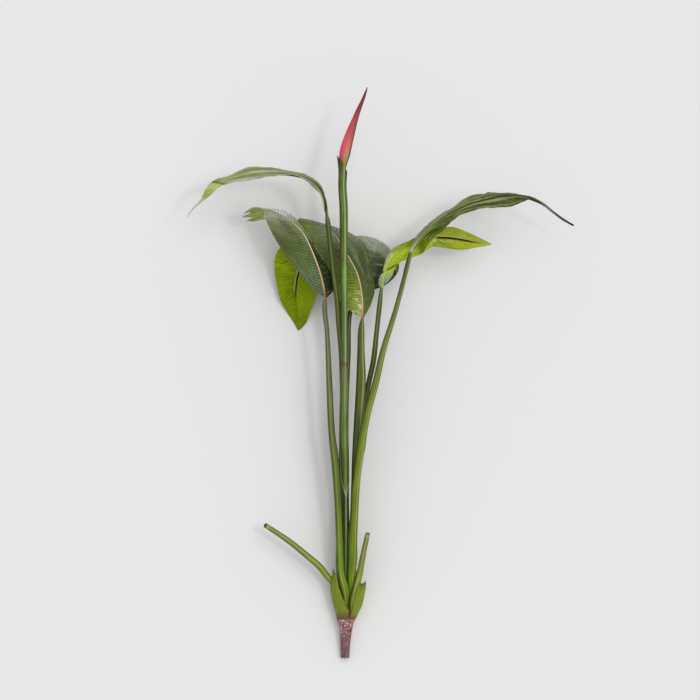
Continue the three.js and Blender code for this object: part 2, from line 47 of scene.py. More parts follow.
STEM_LENGTH = 1000
PLACE_IN_FRAME = Vector((-61.496826, -500.103271, 0))   # the tables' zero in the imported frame
UP = Vector((0, 0, 1))
LOWEST = 0.02              # height of the lowest points of a piece
UPPER_LOWEST = 0.6         # and of the lowest points on a blade's upper side
PICTURE_MIDDLE = Vector((8.75, 542.5, 0))

BLADE_EDGE = 0.16          # half thickness of a blade at its edge
BLADE_MIDDLE = 0.34        # and beside its midrib
BLADE_ARCH = 0.07          # how far a half blade bulges, as a share of its width
BLADE_STEPS = 24           # lengths measured between two rows of a blade
RIB_END = 0.55             # radius of a midrib at the tip of its leaf
RIB_FADE = 0.3             # share of a half blade over which its normal turns to the midrib's
GROOVE_DEPTH = 0.55        # of the groove over a midrib, as a share of the midrib's radius
GROOVE_WIDTH = 0.8
GRID = 2.0                 # size of a blade's mesh cells
EDGE_WAVES = ((17, 1), (7, 0.6))     # lengths and shares of the swings of a blade's edge
VEIN_RADIUS = 0.42
VEIN_START = 2             # a raised vein starts at this step of its way to the edge
VEIN_STEPS = 16            # and would reach the edge at this one
VEIN_NARROWEST = 5         # width of a half blade below which it has no raised veins
VEIN_LOWEST = 0.4
VEIN_SPACING = 4.2
STALK_SIDES = 28
BUD_SIDES = 48
BUD_FLATNESS = 0.62
CUT_WALL = 0.7             # radius of a cut stalk's hollow, as a share of the stalk's
CUT_DEPTH = 14
SHEATH_GAP = 0.35
FLOWER_SHEATH_WALL = 1.1
SHEATH_WALL = 1.8          # thickness of a clasping sheath at its foot
SHEATH_LIP = 1.1           # and at its rim

# Each stalk is a list of [x, y, height, half width, half depth], from its foot up.
# Each row of a blade is the midrib's x, y and height and the ways from there to the left and to
# the right edge, from the blade's foot to its tip. A channel's values are those of channel().
LEAVES = {
    "leaf_top_left": {
        "seed": 3, "ripple": 1.6, "vein_sweep": 46, "rib_radius": 2.2, "rib_end": 0.45,
        "channel": (100, 0.1, 18),
        "stalk": [
            [-6.5, 76, 15.7, 3], [-9, 105, 19.3, 3.6], [-9.5, 125, 24, 4.2], [-11.5, 175, 30.5, 4.9],
            [-6, 259.5, 37.5, 4.7], [-4, 314.5, 46.5, 4.7], [-4, 384.5, 58.5, 4.7], [-4, 432, 66, 4.6],
            [-5, 486.5, 72, 4.6], [-7, 540.5, 79, 4.5], [-11, 586, 88, 4.5], [-14, 630, 97, 4.4],
            [-22, 689, 103.5, 4.3], [-27.5, 742, 107, 4.2], [-30.5, 771, 109, 4],
        ],
        "rows": [
            [-32, 781.5, 110, -3, 0, 0, 2.5, 0, -1], [-37, 806, 113, -5.5, 6, 8, 4, 2.5, -9],
            [-46, 826.5, 117, -10.5, 0, 13, 2, 5.5, -19], [-64.5, 840, 121, -8.5, 1, 16, -1, 7.5, -24],
            [-88, 847, 124, -8.5, 0.5, 18, -2, 7, -26], [-116.5, 848.5, 126, -4.5, -3, 20, -11, 12, -27],
            [-151.5, 846, 127, -5, -6.5, 20, -13.5, 16, -26],
            [-185.5, 841.5, 125, -3, -7, 17, -13.5, 7, -21], [-217, 833, 119, 2, -5.5, 13, -12.5, 4, -13],
            [-238, 817.5, 112, 4, -5, 7, -5, 5, -6], [-251.5, 802, 106, 1.5, -1.5, 1, -2, 1.5, -1],
            [-265, 790, 100, 1, -1, 0, -1, 1, 0], [-276.5, 774, 94, 1, -0.5, 0, -0.5, 0.5, 0],
        ],
    },
    "leaf_front_left": {
        "seed": 11, "ripple": 1.6, "vein_sweep": 20, "vein_spacing": 5.6, "rib_radius": 2.176,
        "raised_rib": True,
        "tip_cut": [[-1, 0.9], [-0.8, 0.1], [-0.5, 1.2], [-0.15, 0], [0.2, 1.2], [0.6, 0.2], [1, 1]],
        "channel": (70, 0.08, 14),
        "stalk": [
            [0.3, 76, 29.5, 3.2, 3], [1.5, 105, 36.5, 4.6, 4.2], [0.9, 120, 40, 7.6, 4.6],
            [-2.5, 133, 42.5, 7.4, 5], [-6.5, 148, 44, 6.8, 5.4], [-8, 175, 46.5, 6.4, 6],
            [-9.5, 207.5, 53, 6.4], [-11.5, 260, 61, 6.4], [-14.5, 314.5, 68.5, 6.8],
            [-17.5, 350, 72.5, 6.8], [-22, 385, 76, 6.2], [-27.5, 486.5, 84, 5.3], [-31.5, 575.5, 92, 4],
            [-35.5, 623, 97, 3.6],
        ],
        "rows": [
            [-34.5, 634, 98, -3, 2, 0, 3.5, 0.5, 0], [-37, 651.5, 100, -19, -5, -4, 16.5, -5, -9],
            [-43, 677, 102, -35, -1.5, -8, 23, -8, -14], [-51.5, 701, 104, -46, -0.5, -11, 20, -11.5, -14],
            [-61, 724, 105, -54, 1.5, -13, 16, -13, -13], [-74, 748, 105, -54, -0.5, -14, 11, -9.5, -11],
            [-91.5, 765, 103, -44, -2.5, -14, 8, 4, -11], [-114.5, 779, 99, -24.5, -8.5, -13, 13, 5.5, -11],
            [-139, 787, 93, -4.5, -16, -11, 8, 3, -7], [-151, 785, 88, 1.5, -15, -10, -5, 7.5, -4],
            [-165.5, 781, 80, 4.5, -13.5, -8, -3.5, 7.5, -2], [-179.5, 776, 72, 5, -8.5, -5, -4.5, 4.5, -2],
        ],
    },
    "leaf_back_left": {
        "seed": 19, "ripple": 1.2, "vein_sweep": 26, "vein_spacing": 4, "rib_radius": 2.6,
        "channel": (90, 0.1, 18),
        "stalk": [
            [-1.4, 76, 11.3, 3], [-4.5, 105, 13.5, 3.6], [-5.5, 125, 15.5, 4], [-7, 175, 20.5, 4.7],
            [-7.5, 259.5, 27.5, 4.6], [-7, 314, 32, 4.6], [-6, 384.5, 39, 4.5], [-5.5, 432, 44, 4.5],
            [-3.5, 486.5, 50, 4.4], [-3.5, 540.5, 55, 4.3], [-5.5, 586.5, 58.5, 4.2], [-9.5, 630, 60, 4.2],
            [-18.5, 674, 60, 4.1], [-32.5, 709, 58, 4], [-47.5, 726.5, 54, 3.8],
        ],
        "rows": [
            [-57, 730, 50, -1, -3.5, 0, 1.5, 3.5, 0], [-67.5, 723.5, 46, 15, -16, 6, -17.5, 7, 4],
            [-75, 708.5, 40, 29.5, -25.5, 6, -29.5, 21, 6], [-80, 686, 30, 35, -25, 8, -41.5, 24, 9],
            [-85, 663, 19, 37.5, -17.5, 10, -39, 21, 11], [-87, 641, 10, 34, -13, 10, -33, 16, 10],
            [-86, 619, 4, 26.5, -6, 8, -27.5, 11, 8], [-84.5, 598, -0.2, 17, -5.5, 3.2, -16, 8, 2.2],
            [-83, 583.5, -0.2, 7.5, -1.5, 0, -5, 2.5, 0], [-82.5, 577, -0.2, 1.5, 0, 0, -1.5, 1, 0],
        ],
    },
    "leaf_front_centre": {
        "seed": 27, "ripple": 1.4, "vein_sweep": 26, "vein_spacing": 5.2, "rib_radius": 2.304,
        "raised_rib": True, "channel": (108, 0.16, 16),
        "stalk": [
            [13.3, 76, 21, 3], [16.5, 105, 24.5, 3.8], [17.5, 125, 27, 4.4], [12.5, 175, 32, 5.5],
            [15, 259.5, 43.5, 5.8], [17.5, 314.5, 54, 6.4], [19, 349.5, 60, 7], [21, 385, 66, 7.4, 7],
            [24.5, 432, 73, 8.2, 6.6], [28, 486.5, 79, 8.6, 6.4], [28, 541, 84, 6.4, 5.8],
            [29, 586, 87, 4.6],
        ],
        "rows": [
            [30.5, 598.5, 88, -3, 1.5, 0, 3, 1.5, 0], [31, 619.5, 90, -21.5, -9.5, -5, 12.5, -2, -4],
            [28.5, 647.5, 90, -38, -17.5, -9, 23.5, 0, -6],
            [21.5, 676.5, 88, -44.5, -16, -10, 26.5, -1, -8], [9, 701, 83, -42.5, -8.5, -10, 33.5, 1, -8],
            [-6.5, 727.5, 76, -42.5, -8, -10, 39, 2.5, -8],
            [-23.5, 749.5, 67, -40.5, -7.5, -9, 33, -1.5, -6],
            [-45.5, 760.5, 59, -30.5, -2, -8, 19, 0.5, -4], [-67.5, 766, 52, -16.5, 2, -6, 7.5, 4.5, -2],
            [-83, 770.5, 46, -2.5, 0, -1, 3.5, 4, 0],
        ],
    },
    "leaf_back_right": {
        "seed": 35, "ripple": 1.2, "vein_sweep": 16, "vein_spacing": 5, "rib_radius": 3,
        "channel": (90, 0.1, 18),
        "stalk": [
            [5.7, 76, 11, 3], [4.5, 105, 14, 3.6], [4.5, 125, 16, 4], [4, 175, 21, 4.7],
            [2.5, 259.5, 29, 4.7], [2, 314, 36, 4.6], [1, 384.5, 46, 4.5], [2, 432, 52.5, 4.5],
            [3.5, 486.5, 58, 4.5], [6, 540.5, 62.5, 4.4], [7.5, 598.5, 65, 4.2], [11, 618, 66, 4],
        ],
        "rows": [
            [13.5, 630, 66, -3, 1, 0, 3.5, -0.5, 0], [22, 648.5, 67, -20.5, 5.5, -5, 20, -3.5, -5],
            [33.5, 671.5, 66, -34.5, 12, -8, 36, -16, -10], [44, 694, 62, -42.5, 17, -9, 46, -19.5, -12],
            [53, 714.5, 54, -43.5, 16.5, -8, 41.5, -20, -10], [58.5, 729.5, 42, -37.5, 14, -5, 27, -16, -6],
            [61.5, 734, 27, -29, 8, -2, 16, -13, -1], [62.5, 729, 12, -20.5, 4.5, 0, 12, -10.5, 2],
            [65, 717, 0.4, -12, 4.5, 1.6, 9, -7, 2.6], [70, 702, -0.1, -4, 1.5, 0, 3, -1.5, 0],
        ],
    },
    "leaf_right": {
        "seed": 43, "ripple": 1.6, "vein_sweep": 40, "rib_radius": 2.6, "channel": (80, 0.12, 18),
        "stalk": [
            [11.6, 76, 14.3, 3], [12.5, 105, 15.5, 3.6], [13.5, 125, 17, 4], [15, 175, 20, 4.7],
            [15, 259.5, 29, 4.7], [17.5, 314, 36, 4.7], [25.5, 384.5, 48, 4.8], [32.5, 432, 56, 4.8],
            [42, 486.5, 66, 4.8], [49.5, 521.5, 74, 4.9], [55.5, 576, 80, 4.3], [61.5, 630, 86, 4],
        ],
        "rows": [
            [64, 653.5, 88, -3.5, 0, 0, 3.5, 1, 0], [67, 669, 92, -8.5, -5, -4, 11.5, -2.5, -7],
            [72.5, 686.5, 96, -6.5, -4, -5, 15, -2.5, -10], [84, 704, 99, -12, 0.5, -5, 11.5, -9.5, -9],
            [102, 717, 102, -15.5, 5, -6, 10, -14.5, -8], [125.5, 726.5, 104, -8.5, 9, -7, 4.5, -17.5, -7],
            [147.5, 735, 105, 4.5, 19, -4, -2.5, -17, -5], [162, 740.5, 102, 16, 19.5, -3, -11, -17.5, -3],
            [161, 739.5, 94, 12, 18, -2, -9, -16, -2], [178.5, 738.5, 90, 9.5, 19.5, -3, -4.5, -17.5, -2],
            [202.5, 735.5, 87, 10, 14, -4, 1.5, -18, -4], [226.5, 731, 83, 9, 8, -3, 4.5, -9, -4],
            [256, 727.5, 77, -0.5, 1.5, 0, -1, -1.5, 0],
        ],
    },
    "leaf_top_right": {
        "seed": 51, "ripple": 1.8, "vein_sweep": 50, "rib_radius": 2.4, "rib_end": 1.8,
        "channel": (60, 0.1, 14, [306, 0.24, 30]),
        "stalk": [
            [6.4, 76, 21, 3], [7, 105, 27.3, 4.2], [8.9, 125, 32, 4.8], [9.8, 135, 36, 6.2, 5.2],
            [11, 150, 41, 7, 5.8], [13.3, 175, 45.5, 8.2, 6.2], [13.5, 207.5, 50.5, 8.2, 6.6],
            [16.5, 260, 58.5, 7.2], [20, 314.5, 68, 7.2], [25, 350, 75.5, 7], [29.5, 385, 82, 6.6],
            [39.5, 432.5, 90, 6.2], [54, 486.5, 96, 6], [66.5, 541, 101, 5.4], [88, 610.5, 107, 4.4],
            [102.5, 664.5, 111, 4], [112, 703, 114.5, 3.7],
        ],
        "rows": [
            [116, 717, 115, -3, 1, 0, 3, -1, 0], [129, 735, 118, -4.5, 5, -6, 4, -2.5, 6],
            [146.5, 754.5, 121, -2.5, 7, -17, 6.5, -3, 12], [166.5, 770, 123, -0.5, 9, -23, 9.5, -12, 16],
            [191.5, 785.5, 125, 2.5, 10, -25, 7.5, -10, 17],
            [218.5, 797.5, 126, -2, 13.5, -25, 10, -11, 18],
            [248.5, 805.5, 125, -1.5, 11, -22, 11.5, -15.5, 17],
            [277, 812.5, 122, 2.5, 4.5, -17, 14.5, -19.5, 13], [303.5, 812, 118, 2, 2, -9, 7.5, -10.5, 7],
            [326, 806.5, 113, 1.5, 2.5, -3, 0.5, -1.5, 3], [346.5, 796.5, 108, 1.5, 2, -1, -1.5, -1.5, 1],
            [364, 783, 103, 1.5, 1.5, 0, -1.5, -1.5, 1], [383.5, 769, 98, 1.5, 1.5, 0, -1.5, -1.5, 0],
            [399.5, 760, 94, 0.5, 1, 0, -0.5, -0.5, 0],
        ],
    },
}
FLOWER_STALK = [
    [-0.3, 76, 19.5, 3], [-2, 105, 25.5, 4.2], [-1, 125, 28.5, 4.8], [0.5, 175, 34, 5.6],
    [0.5, 207, 39.5, 5.8], [0, 260, 49, 6.2], [0, 314.5, 59, 5.9], [-0.5, 349.5, 66, 5.6],
    [-2, 385, 73, 5.5], [-1.5, 432.5, 81.5, 5.3], [-1, 486.5, 88.5, 5.2], [-0.5, 521.5, 92, 5],
    [-1, 586, 99, 5.5], [-1, 630, 103, 5.5], [-1.5, 682, 107, 5.3], [-2, 743, 113, 5.1],
    [-2.5, 795.5, 117.5, 5], [-4.5, 832, 120.5, 4.6], [-4, 844, 121.5, 4.2],
]
FLOWER_STALK_TOP = [[-3.5, 860, 123, 4.2], [-3.5, 900, 126, 4.2]]     # inside the bud
FLOWER_BUD = [
    [-4, 844.05, 121.504, 4.2], [-3.5, 856.05, 122.504, 4.7], [-2.7, 865, 123.3, 5.8],
    [-2, 873.5, 124, 7.8], [-0.5, 884, 125, 9.6], [1.5, 893.5, 126, 9.6], [6, 910, 127, 8.7],
    [11.8, 927.5, 128, 7.1], [17.8, 945, 129, 5.3], [24, 961.5, 130, 4.1], [30.2, 976, 131, 3],
    [35.2, 989, 132, 2.1], [39, STEM_LENGTH, 133, 0.7],
]
CUT_STALK_LEFT = [
    [-7.1, 76, 22, 3], [-12.5, 105, 27, 4.1], [-17.5, 125, 29.5, 4.6], [-24.5, 137, 31, 5.2],
    [-31, 144.5, 32.5, 5.5], [-43, 160, 36, 5.8], [-66, 180.5, 40.5, 5.6], [-100, 208, 44, 5],
    [-139.5, 234.5, 45, 4.3],
]
CUT_STALK_RIGHT = [
    [9, 76, 27, 3], [14, 105, 35.5, 5], [18, 121, 37.5, 5.4], [22.5, 137, 41.5, 5.8],
    [29, 168.5, 51.5, 5.2], [35, 198.5, 57, 4.5], [39.5, 219.5, 60, 4.3],
]
BASE_STUB = [
    [0.2, 0, 6.8, 7.7, 7.7], [0.2, 6, 7, 7.8, 7.8], [1, 37, 13.2, 9.8, 9.8], [1.7, 52.5, 15.6, 11.6, 11.6],
    [1.7, 60, 16.8, 13, 13], [1.7, 68, 18.3, 16, 14.8], [2.8, 73.2, 19, 17, 15.4],
]
# The cup round the stalks as [y, x, height, half width, half depth]
CUP = [
    [68.6, 1.8, 18.4, 17, 15.6], [73.5, 2.8, 19, 18.1, 16.4], [82, 3.8, 20.5, 21.3, 17.5],
    [92, 4.8, 22.3, 25.2, 19], [105, 4.9, 24.5, 28.3, 21], [125, 5.2, 27.5, 31.8, 22.5],
    [134, 5.4, 29, 32.6, 23], [152, 5.6, 31.5, 33, 23.5],
]
# [y, front edge, back edge] round the cup in degrees, and [angle, y] of the rim
OUTER_SHEATHS = {
    "outer_sheath_left": {
        "edges": [[73.5, 76, 272], [82, 80, 270], [96, 97, 262], [106, 109, 254], [123, 120, 243],
                  [150, 131, 228]],
        "rim": [[76, 151], [131, 151], [138, 150], [143, 158], [146, 157], [149, 148], [158, 128],
                [185, 124], [240, 118], [272, 112]],
    },
    "outer_sheath_right": {
        "edges": [[73.5, 72, -70], [96, 69, -66], [117, 60, -60], [134, 52, -54]],
        "rim": [[-70, 112], [-40, 124], [0, 133], [14, 132.5], [19, 137], [23, 136.5], [27, 132.5],
                [40, 132.5], [72, 132.5]],
    },
}
# Radius as [y, radius], y of the foot as [angle, y] and y of the mouth at the left and right
FLOWER_SHEATHS = {
    "flower_sheath_lower": {
        "radius": [[262, 7], [280, 7.2], [314, 7.1], [350, 7.7], [385, 8.4], [432, 8], [486, 7.1],
                   [524, 6.1]],
        "flare": 0,
        "foot": [[-180, 313], [-90, 305], [0, 301], [20, 296], [40, 301], [60, 290], [72, 280], [110, 297],
                 [150, 313], [180, 313]],
        "mouth": (523, 519),
    },
    "flower_sheath_upper": {
        "radius": [[690, 6.4], [705, 6.9], [743, 7.3], [795, 7.5], [832, 7.4], [850, 7.7], [866, 8.4],
                   [884, 9.6]],
        "flare": 1.3,
        "foot": [[-180, 708], [-60, 704], [0, 705], [24, 697], [50, 690], [90, 699], [180, 708]],
        "mouth": (881, 853),
    },
}

# Colours run as (share of the length, red, green, blue). Each half of a leaf has its own run
# from the foot of the blade to its tip; some runs also hold painted sheen and painted shade. A
# groove is the painted shade in the groove over a midrib as (colour, width, start, end), its rim
# a painted highlight as (colour, side, end), a fold a painted fold line with painted shade along
# it as (place, slant, colour beyond it), spots of painted sheen are (colour, end), a straight
# dark line is (start, end, half width, colour), those on leaf_right being painted shade, and
# long sets lengthwise bands of painted sheen and shade.
PAINTS = {
    "leaf_top_left": {
        # The whitish stretch from 0.4 to 0.6 of the left half is painted light shining through the leaf.
        "left": [(0, 90, 102, 44), (0.12, 100, 108, 70), (0.28, 148, 154, 120), (0.4, 198, 206, 174),
                 (0.6, 206, 214, 182), (0.74, 138, 156, 62), (0.81, 168, 186, 24), (0.86, 220, 226, 180),
                 (0.91, 226, 228, 218), (1, 236, 236, 234)],
        "right": [(0, 94, 108, 46), (0.12, 132, 138, 100), (0.3, 146, 152, 116), (0.44, 156, 166, 126),
                  (0.54, 144, 164, 92), (0.66, 176, 192, 126), (0.74, 130, 160, 50), (0.81, 152, 174, 18),
                  (0.86, 218, 224, 178), (0.91, 224, 226, 214), (1, 236, 236, 234)],
        "fold": (0.722, -0.015, (232, 242, 144)), "fold_end": 0.85, "crease_shade": 0.8, "dark": (78, 94, 40),
        "light": (206, 216, 160), "vein": (88, 104, 50), "under": (150, 156, 120),
        "groove": ((22, 26, 10), 4.6, 0.02, 0.42), "groove_highlight": ((168, 174, 116), -1, 0.18), "line": 0.3,
        "streak": 0.3, "long": 0.6,
    },
    "leaf_front_left": {
        # The pale grey stops from 0.56 to 0.84 are painted sheen, and the near-black start of the right
        # half is painted shade.
        "left": [(0, 96, 118, 84), (0.12, 104, 126, 86), (0.35, 98, 118, 62), (0.56, 138, 148, 106),
                 (0.74, 204, 208, 184), (0.84, 174, 182, 122), (0.95, 160, 170, 90), (1, 90, 96, 50)],
        "right": [(0, 12, 22, 4), (0.3, 16, 24, 6), (0.42, 30, 38, 16), (0.56, 160, 166, 140),
                  (0.7, 238, 240, 236), (0.83, 206, 210, 178), (0.95, 172, 180, 104), (1, 86, 92, 48)],
        "fold": (0.83, -0.025, (162, 174, 96)), "crease_shade": 0.3,
        "shade_lines_and_marks": [((-182.9, 778.2), (-157.5, 785.4), 0.8, (70, 80, 36)),
                      ((-168.4, 770), (-146.7, 775.8), 0.7, (70, 80, 36))],
        "dark": (48, 62, 26), "light": (136, 150, 106), "vein": (36, 48, 18), "under": (96, 120, 50),
        "gloss": 0.12, "line": 0.62, "line_width": 0.34, "line_end": 0.8, "streak": 0.3, "long": 0.35,
    },
    "leaf_back_left": {
        "left": [(0, 116, 142, 0), (0.3, 156, 186, 0), (0.6, 168, 192, 10), (0.75, 152, 176, 0),
                 (1, 136, 152, 8)],
        "right": [(0, 128, 156, 0), (0.28, 168, 198, 0), (0.38, 184, 214, 0), (0.5, 154, 180, 0),
                  (0.7, 140, 164, 0), (1, 132, 150, 8)],
        "dark": (92, 114, 0), "light": (184, 202, 6), "vein": (84, 102, 0), "under": (104, 124, 20),
        "groove": ((34, 42, 6), 2.3, 0.1, 0.66), "groove_highlight": ((204, 204, 160), 1, 0.62),
        "shade_lines_and_marks": [((-113.75, 693), (-99.75, 699.1), 0.9, (34, 42, 6))], "gloss": 0.1, "line": 0.9,
        "line_width": 0.26, "streak": 0.35, "fibre": 0.6,
    },
    "leaf_front_centre": {
        # The pale start of the left half, its grey stop at 0.7 and the grey end of the right half from 0.7
        # on are painted sheen.
        "left": [(0, 196, 214, 150), (0.08, 172, 192, 94), (0.22, 140, 164, 20), (0.36, 108, 130, 38),
                 (0.52, 104, 118, 78), (0.7, 148, 160, 120), (0.84, 150, 170, 90), (1, 124, 156, 10)],
        "right": [(0, 116, 140, 50), (0.12, 88, 106, 32), (0.3, 72, 84, 36), (0.5, 80, 92, 56),
                  (0.7, 140, 150, 122), (1, 150, 160, 124)],
        "sheen_patch": ((206, 218, 150), 0.26), "dark": (44, 58, 20), "light": (146, 160, 112),
        "vein": (36, 48, 16), "under": (96, 120, 50), "rim_left": (124, 154, 24), "line": 0.45,
        "line_width": 0.28, "streak": 0.22, "long": 0.28,
    },
    "leaf_back_right": {
        # The pale grey stops from 0.55 to 0.76 of both halves are painted sheen.
        "left": [(0, 66, 82, 40), (0.36, 64, 78, 40), (0.48, 88, 100, 64), (0.55, 158, 164, 144),
                 (0.76, 180, 186, 170), (1, 60, 70, 44)],
        "right": [(0, 48, 58, 30), (0.38, 54, 66, 34), (0.5, 80, 92, 56), (0.57, 152, 158, 136),
                  (0.76, 170, 176, 156), (1, 52, 62, 36)],
        "dark": (48, 60, 30), "light": (196, 202, 186), "vein": (44, 56, 30), "under": (54, 66, 34),
        "roughness": 0.3, "line": 0.25, "line_width": 0.24, "streak": 0.4, "streak_width": 0.6,
    },
    "leaf_right": {
        # The pale grey-green start of both halves, up to about 0.1 of the right and 0.2 of the left, is
        # painted sheen.
        "left": [(0, 224, 232, 206), (0.1, 222, 230, 190), (0.2, 206, 218, 146), (0.3, 146, 168, 40),
                 (0.38, 128, 150, 0), (0.44, 84, 108, 0), (0.55, 84, 108, 0), (0.8, 168, 182, 24),
                 (1, 180, 190, 50)],
        "right": [(0, 204, 216, 150), (0.07, 206, 222, 136), (0.16, 186, 210, 50), (0.26, 190, 218, 30),
                  (0.36, 196, 220, 30), (0.46, 92, 118, 0), (0.55, 92, 118, 0), (0.66, 152, 172, 12),
                  (0.8, 184, 196, 30), (1, 190, 200, 66)],
        "fold": (0.53, 0.08, (184, 198, 50)), "fold_end": 0.75, "long": 0.35, "plain": 0.47,
        # Both lines are painted shade, one just beyond the fold, one below the near lobe.
        "shade_lines_and_marks": [((159.25, 736), (174.7, 726), 0.8, (34, 42, 10)),
                      ((60, 675), (93, 693), 2.2, (92, 118, 6))],
        "foot_flecks": (226, 240, 220), "dark": (104, 126, 0), "light": (226, 234, 176),
        "vein": (100, 120, 0), "under": (130, 150, 20), "groove": ((34, 42, 10), 2.6, 0.57, 0.93),
        "gloss": 0.08, "line": 0.35, "streak": 0.35,
    },
    "leaf_top_right": {
        "left": [(0, 158, 168, 126), (0.15, 134, 144, 92), (0.35, 140, 154, 76), (0.55, 126, 136, 60),
                 (0.63, 120, 128, 64), (0.72, 88, 94, 46), (0.82, 134, 138, 112), (0.9, 68, 70, 52),
                 (1, 10, 10, 6)],
        "right": [(0, 120, 150, 0), (0.13, 132, 164, 0), (0.19, 92, 108, 32), (0.36, 102, 114, 44),
                  (0.55, 90, 100, 32), (0.63, 76, 82, 22), (0.72, 82, 88, 42), (0.82, 128, 132, 108),
                  (0.9, 64, 66, 48), (1, 10, 10, 6)],
        "dark": (32, 40, 8), "light": (186, 192, 146), "vein": (50, 58, 16), "under": (104, 116, 56),
        "groove": ((28, 34, 10), 2.2, 0.26, 0.8), "gloss": 0.12, "line": 0.4, "line_width": 0.24,
        "streak": 0.3, "long": 0.6,
    },
}
# The stalks, with each leaf's midrib from the foot of the blade to its tip; the band of painted
# highlight is (place sideways, half width, strength), left and right are the strengths of the
# painted shade on the flanks, the dark colour on a midrib's right side is painted shade, and a
# mark is (length, reach, sideways, spread, colour).
# Where a blade has a groove over its midrib, the near-black stretch of that leaf's rib run is painted shade
# in the groove.
STALKS = {
    "leaf_top_left": {
        "stops": [(0, 118, 142, 16), (0.15, 112, 130, 30), (0.4, 112, 124, 40), (0.62, 80, 90, 36),
                  (0.75, 70, 80, 34)],
        "rib": [(0, 60, 66, 34), (0.04, 34, 38, 18), (0.36, 36, 40, 20), (0.44, 120, 128, 92),
                (0.7, 132, 152, 66), (0.82, 176, 194, 70), (0.87, 206, 212, 170), (0.91, 226, 228, 218),
                (1, 236, 236, 234)],
        "highlight_band": (0.1, 0.3, 0.3), "marks": [(712, 13, 0.95, 0.6, (200, 190, 130))],
    },
    "leaf_front_left": {
        "stops": [(0, 118, 146, 10), (0.12, 122, 148, 24), (0.3, 96, 116, 34), (0.66, 114, 120, 82),
                  (1, 92, 102, 62)],
        "rib": [(0, 160, 92, 74), (0.1, 212, 170, 132), (0.4, 230, 214, 174), (0.6, 206, 202, 168),
                (0.74, 120, 122, 96), (0.84, 130, 138, 84), (1, 120, 126, 68)],
        "highlight_band": (-0.15, 0.3, 0.4), "right": 0.8, "rib_shade": (60, 38, 24),
    },
    "leaf_back_left": {
        "stops": [(0, 84, 104, 14), (0.4, 76, 88, 24), (0.8, 80, 92, 22), (1, 120, 140, 10)],
        "rib": [(0, 116, 138, 6), (0.06, 30, 38, 6), (0.55, 34, 42, 8), (0.7, 104, 124, 6),
                (1, 120, 140, 10)],
    },
    "leaf_front_centre": {
        "stops": [(0, 112, 138, 12), (0.2, 100, 120, 24), (0.45, 96, 108, 40), (0.7, 98, 108, 50),
                  (1, 100, 108, 64)],
        "rib": [(0, 190, 126, 92), (0.12, 224, 190, 146), (0.45, 232, 214, 170), (0.55, 230, 224, 194),
                (0.72, 224, 224, 200), (0.8, 90, 112, 56), (1, 96, 128, 40)],
        "left": 0.8, "highlight_band": (0.5, 0.25, 0.85), "rib_shade": (70, 46, 28),
    },
    "leaf_back_right": {
        "stops": [(0, 56, 68, 20), (0.6, 52, 62, 22), (1, 66, 76, 42)],
        # The pale grey stops from 0.56 to 0.8 are painted sheen, as on the blade.
        "rib": [(0, 56, 68, 36), (0.46, 76, 90, 54), (0.56, 140, 146, 124), (0.8, 160, 166, 146),
                (1, 60, 72, 40)],
    },
    "leaf_right": {
        "stops": [(0, 84, 104, 24), (0.35, 88, 100, 38), (0.5, 78, 90, 34), (0.6, 86, 98, 40),
                  (0.72, 90, 104, 40), (0.93, 76, 90, 40)],
        "rib": [(0, 150, 176, 90), (0.08, 168, 194, 60), (0.3, 156, 184, 10), (0.5, 96, 120, 0),
                (0.56, 96, 112, 6), (0.6, 36, 44, 12), (0.9, 44, 52, 14), (1, 140, 152, 44)],
        "highlight_band": (0.0, 0.3, 0.4),
    },
    "leaf_top_right": {
        "stops": [(0, 122, 152, 0), (0.15, 112, 136, 6), (0.3, 124, 142, 38), (0.42, 122, 136, 50),
                  (0.51, 126, 138, 70), (0.56, 118, 130, 64), (0.6, 90, 100, 38), (0.85, 120, 128, 70)],
        "rib": [(0, 170, 176, 146), (0.14, 150, 156, 118), (0.24, 84, 92, 50), (0.3, 34, 38, 16),
                (0.78, 36, 40, 18), (0.83, 128, 130, 106), (0.9, 66, 68, 50), (1, 10, 10, 6)],
        "highlight_band": (0.55, 0.3, 0.5), "left": 0.6, "right": 0.15,
        "marks": [(268, 36, 0.9, 0.22, (158, 172, 108)), (250, 14, -0.9, 0.4, (60, 76, 20))],
    },
    "flower_stalk": {
        "stops": [(0, 88, 104, 20), (0.12, 90, 106, 32), (0.18, 74, 88, 26), (0.29, 52, 62, 22),
                  (0.55, 112, 128, 68), (0.7, 104, 130, 58), (0.79, 124, 154, 76), (0.84, 98, 126, 52),
                  (1, 94, 124, 42)],
        "bright": (166, 190, 130), "highlight_band": (0.3, 0.3, 0.7),
    },
    "flower_sheath_lower": {
        "stops": [(0, 186, 190, 150), (0.025, 160, 166, 116), (0.05, 98, 112, 50), (0.25, 92, 108, 42),
                  (0.5, 98, 120, 54), (0.75, 114, 132, 66), (0.94, 126, 124, 82), (1, 98, 88, 58)],
        "highlight_band": (0.2, 0.35, 0.35),
    },
    "flower_sheath_upper": {
        "stops": [(0, 120, 100, 66), (0.02, 98, 118, 46), (0.85, 92, 116, 36), (0.96, 78, 92, 32),
                  (0.98, 96, 72, 40), (1, 116, 62, 46)],
        "bright": (166, 186, 124), "highlight_band": (0.3, 0.3, 0.7), "left": 0.7,
    },
    "cut_stalk": {
        # The near-black last stop is painted shade inside the hollow end.
        "stops": [(0, 108, 132, 20), (0.45, 142, 164, 44), (0.7, 134, 148, 62), (0.95, 136, 146, 72),
                  (0.985, 186, 192, 140), (0.995, 150, 150, 100), (1, 30, 26, 14)],
        "highlight_band": (0.1, 0.4, 0.5),
    },
}
STALK_SHADE = (38, 54, 16)
